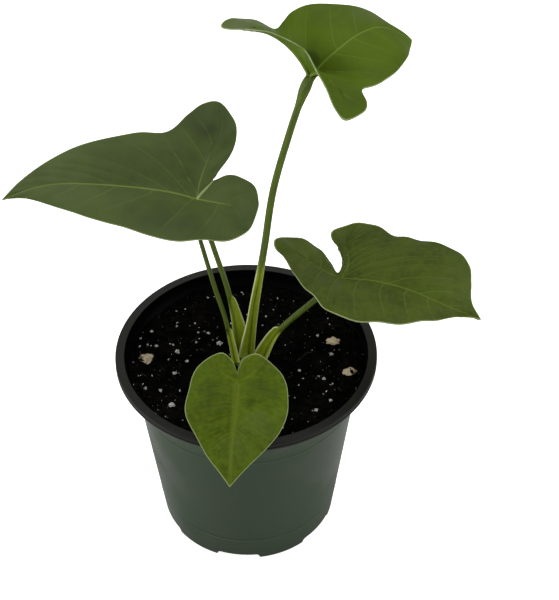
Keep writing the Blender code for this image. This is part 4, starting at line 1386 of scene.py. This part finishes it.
class SoilOperator(bpy.types.Operator):
    """Fill the pot with soil, crumbs, fibres and fine perlite"""
    bl_idname = "philodendron.soil"
    bl_label = "Potting Soil"

    def execute(self, context):
        pot = context.scene.philodendron_pot
        settings = context.scene.philodendron_soil
        top = soil_top_mesh(pot)
        peat = soil_material()
        stand_for(add_piece("soil_bed", soil_mesh(pot, top), [peat]), "soil", "potting_soil")
        area = math.pi * soil_radius(pot, SOIL_TOP) ** 2
        fibre = grain_material("fibre", (0.020, 0.015, 0.009), 0.6)
        grit = grain_material("perlite grit", settings.perlite, 0.75)
        # Name, slot, count, material, smallest, largest, length, flatness, tilt, roughness.
        kinds = (
            ("peat_crumbs", "soil", settings.crumbs, peat,
             0.0003, 0.0013, 1.0, 0.75, math.tau, 0.45),
            ("bark_fibres", "bark", settings.fibres, fibre,
             0.00012, 0.00034, 9.0, 1.0, 0.5, 0.5),
            ("perlite_grit", "perlite", settings.grit, grit,
             0.00010, 0.00062, 1.25, 0.8, math.tau, 0.40),
        )
        labels = ("Smallest", "Largest", "Length", "Flatness", "Tilt", "Roughness")
        for order, (name, slot, count, material, *sizes) in enumerate(kinds):
            values = {"Density": count / area, "Seed": settings.seed + order, "Material": material}
            values.update(zip(labels, sizes))
            stand_for(strew(name, top, values), slot)
        return {"FINISHED"}


class LooseBitsOperator(bpy.types.Operator):
    """Lay the larger perlite grains and the chips on the soil"""
    bl_idname = "philodendron.loose_bits"
    bl_label = "Grains and Chips"

    def execute(self, context):
        settings = context.scene.philodendron_soil
        white = grain_material("perlite", settings.perlite, 0.45)
        bark = grain_material("bark chip", settings.bark, 0.60)
        wood = grain_material("wood chip", tinted(settings.bark, 1.15), 0.30)
        for number, node in enumerate(PERLITE_NODES):
            grain = add_piece("grain_" + node, lump_mesh(node, 0.85, 0.75, number), [white])
            stand_for(grain, "perlite", node)
        for number, node in enumerate(CHIP_NODES):
            chip = add_piece("worn_" + node, lump_mesh(node, 1.0, 0.5, number + 47),
                             [wood if number else bark])
            stand_for(chip, "bark", node)
        return {"FINISHED"}


class CrownOperator(bpy.types.Operator):
    """Build the short stem that the petioles grow from"""
    bl_idname = "philodendron.crown"
    bl_label = "Crown"

    def execute(self, context):
        radius = (CROWN_HIGH.x - CROWN_LOW.x) / 2
        work = bmesh.new()
        bmesh.ops.create_uvsphere(work, u_segments=48, v_segments=32, radius=1.0)
        for corner in work.verts:
            way = corner.co.copy()
            rough = 1.0 + 0.06 * noise.noise(way * 3.0) + 0.03 * math.sin(way.z * 40)
            height = way.z * (0.0014 if way.z > 0 else SOIL_TOP - CROWN_LOW.z)
            share = 0.80 + 0.1 * min(0.0, way.z)
            corner.co = (CROWN_MIDDLE.x + way.x * radius * share * rough,
                         CROWN_MIDDLE.y + way.y * radius * share * rough,
                         SOIL_TOP - 0.0004 + height * rough)
        skin = grain_material("crown", (0.055, 0.060, 0.020), 0.6)
        stand_for(add_piece("crown_stem", mesh_from("crown_stem", work), [skin]), "crown", "crown")
        return {"FINISHED"}


class LeavesOperator(bpy.types.Operator):
    """Build the four heart-shaped leaves"""
    bl_idname = "philodendron.leaves"
    bl_label = "Leaves"

    def execute(self, context):
        edge = rim_material()
        for key, finish in FINISHES.items():
            colour = getattr(context.scene.philodendron_plant, key)
            skins = [blade_material("leaf " + key, colour, finish),
                     underside_material("under " + key, colour), edge]
            stand_for(make_leaf(key, skins), "leaf", "leaf_" + key)
        return {"FINISHED"}


class PetiolesOperator(bpy.types.Operator):
    """Build the petioles with their sheaths"""
    bl_idname = "philodendron.petioles"
    bl_label = "Petioles"

    def execute(self, context):
        skin = stalk_material()
        for key, plan in PETIOLES.items():
            normal = leaf_turn(LEAVES[key]) @ UP
            path = stalk_path(plan, Vector(LEAVES[key]["spot"]) - normal * 0.0006)
            name = "stalk_" + key
            stalk = add_piece(name, stalk_mesh(name, path, plan, normal), [skin])
            weld_to_blade(stalk, bpy.data.objects["blade_" + key])
            stand_for(stalk, "petiole", "petiole_" + key)
        return {"FINISHED"}


class YoungShootOperator(bpy.types.Operator):
    """Build the young stalk and its rolled leaf"""
    bl_idname = "philodendron.young_shoot"
    bl_label = "Young Shoot"

    def execute(self, context):
        skin = bpy.data.materials["petiole skin"]
        path = stalk_path(YOUNG_STALK, Vector(YOUNG_STALK["tip"]))
        stalk = add_piece("stalk_young", stalk_mesh("stalk_young", path, YOUNG_STALK), [skin])
        stand_for(stalk, "petiole", "petiole_young")
        aim = YOUNG_LEAF_AIM.normalized()
        leaf = add_piece("rolled_leaf", rolled_leaf_mesh(path[-1] - aim * 0.0010, aim), [skin])
        stand_for(leaf, "leaf_young", "leaf_young")
        return {"FINISHED"}


class StageOperator(bpy.types.Operator):
    """Set up the floor, the light and the camera"""
    bl_idname = "philodendron.stage"
    bl_label = "Stage"

    def execute(self, context):
        scene = context.scene
        settings = scene.philodendron_stage
        work = bmesh.new()
        bmesh.ops.create_grid(work, x_segments=8, y_segments=8, size=4.0)
        bmesh.ops.translate(work, verts=work.verts, vec=(0.0, 0.0, -CLEARANCE))
        floor = add_piece("floor", mesh_from("floor", work), [floor_material()])
        world = bpy.data.worlds.new("white surround")
        world.use_nodes = True
        sky = world.node_tree
        seen = sky.nodes.new("ShaderNodeLightPath").outputs["Is Camera Ray"]
        level = add_node(sky, "ShaderNodeMapRange", {"Value": seen, "To Min": settings.sky,
                                                     "To Max": 1.0})
        feed(sky, sky.nodes["Background"].inputs,
             {"Color": (1.0, 1.0, 1.0), "Strength": level.outputs["Result"]})
        scene.world = world
        panels = (
            ("overhead_panel", (0.15, 0.30, 1.30), 1.6, settings.key),
            ("right_panel", (0.95, -0.10, 0.55), 0.6, settings.fill),
            ("left_panel", (-0.95, -0.05, 0.50), 0.6, settings.fill * 1.5),
            ("front_panel", (-0.15, -0.95, 0.95), 0.7, settings.fill * 0.6),
        )
        for name, spot, size, power in panels:
            light = bpy.data.lights.new(name, "AREA")
            light.shape = "SQUARE"
            light.size = size
            light.energy = power
            lamp = bpy.data.objects.new(name, light)
            lamp.location = spot
            lamp.rotation_euler = (Vector(spot) - LIGHT_TARGET).to_track_quat("Z", "Y").to_euler()
            scene.collection.objects.link(lamp)
        lens = bpy.data.cameras.new("camera")
        lens.lens = CAMERA_LENS
        lens.sensor_width = 36.0
        lens.clip_start = 0.01
        camera = bpy.data.objects.new("camera", lens)
        camera.location = CAMERA_SPOT
        camera.rotation_euler = (math.radians(90.0 - CAMERA_DOWN), 0.0, math.radians(CAMERA_TURN))
        scene.collection.objects.link(camera)
        scene.camera = camera
        scene.view_settings.view_transform = "Standard"
        return {"FINISHED"}


class PhilodendronPanel(bpy.types.Panel):
    """Sizes, colours and builders of the potted philodendron"""
    bl_idname = "VIEW3D_PT_philodendron"
    bl_label = "Potted Philodendron"
    bl_space_type = "VIEW_3D"
    bl_region_type = "UI"
    bl_category = "Philodendron"

    def draw(self, context):
        for group in SETTINGS:
            box = self.layout.box()
            settings = getattr(context.scene, group)
            for name in settings.__annotations__:
                box.prop(settings, name)
        for operator in OPERATORS:
            self.layout.operator(operator.bl_idname)


OPERATORS = (PotOperator, SoilOperator, LooseBitsOperator, CrownOperator, LeavesOperator,
             PetiolesOperator,
             YoungShootOperator, StageOperator)
SETTINGS = {"philodendron_pot": PotSettings, "philodendron_soil": SoilSettings,
            "philodendron_plant": PlantSettings, "philodendron_stage": StageSettings}


def register():
    for group in (*SETTINGS.values(), *OPERATORS, PhilodendronPanel):
        bpy.utils.register_class(group)
    for name, group in SETTINGS.items():
        setattr(bpy.types.Scene, name, bpy.props.PointerProperty(type=group))


def unregister():
    for name in SETTINGS:
        delattr(bpy.types.Scene, name)
    for group in (PhilodendronPanel, *reversed(OPERATORS), *reversed(SETTINGS.values())):
        bpy.utils.unregister_class(group)


def main():
    register()
    build_shared()
    builders = bpy.ops.philodendron
    builders.pot()
    builders.soil()
    builders.loose_bits()
    builders.crown()
    builders.leaves()
    builders.petioles()
    builders.young_shoot()
    builders.stage()


if __name__ == "__main__":
    main()
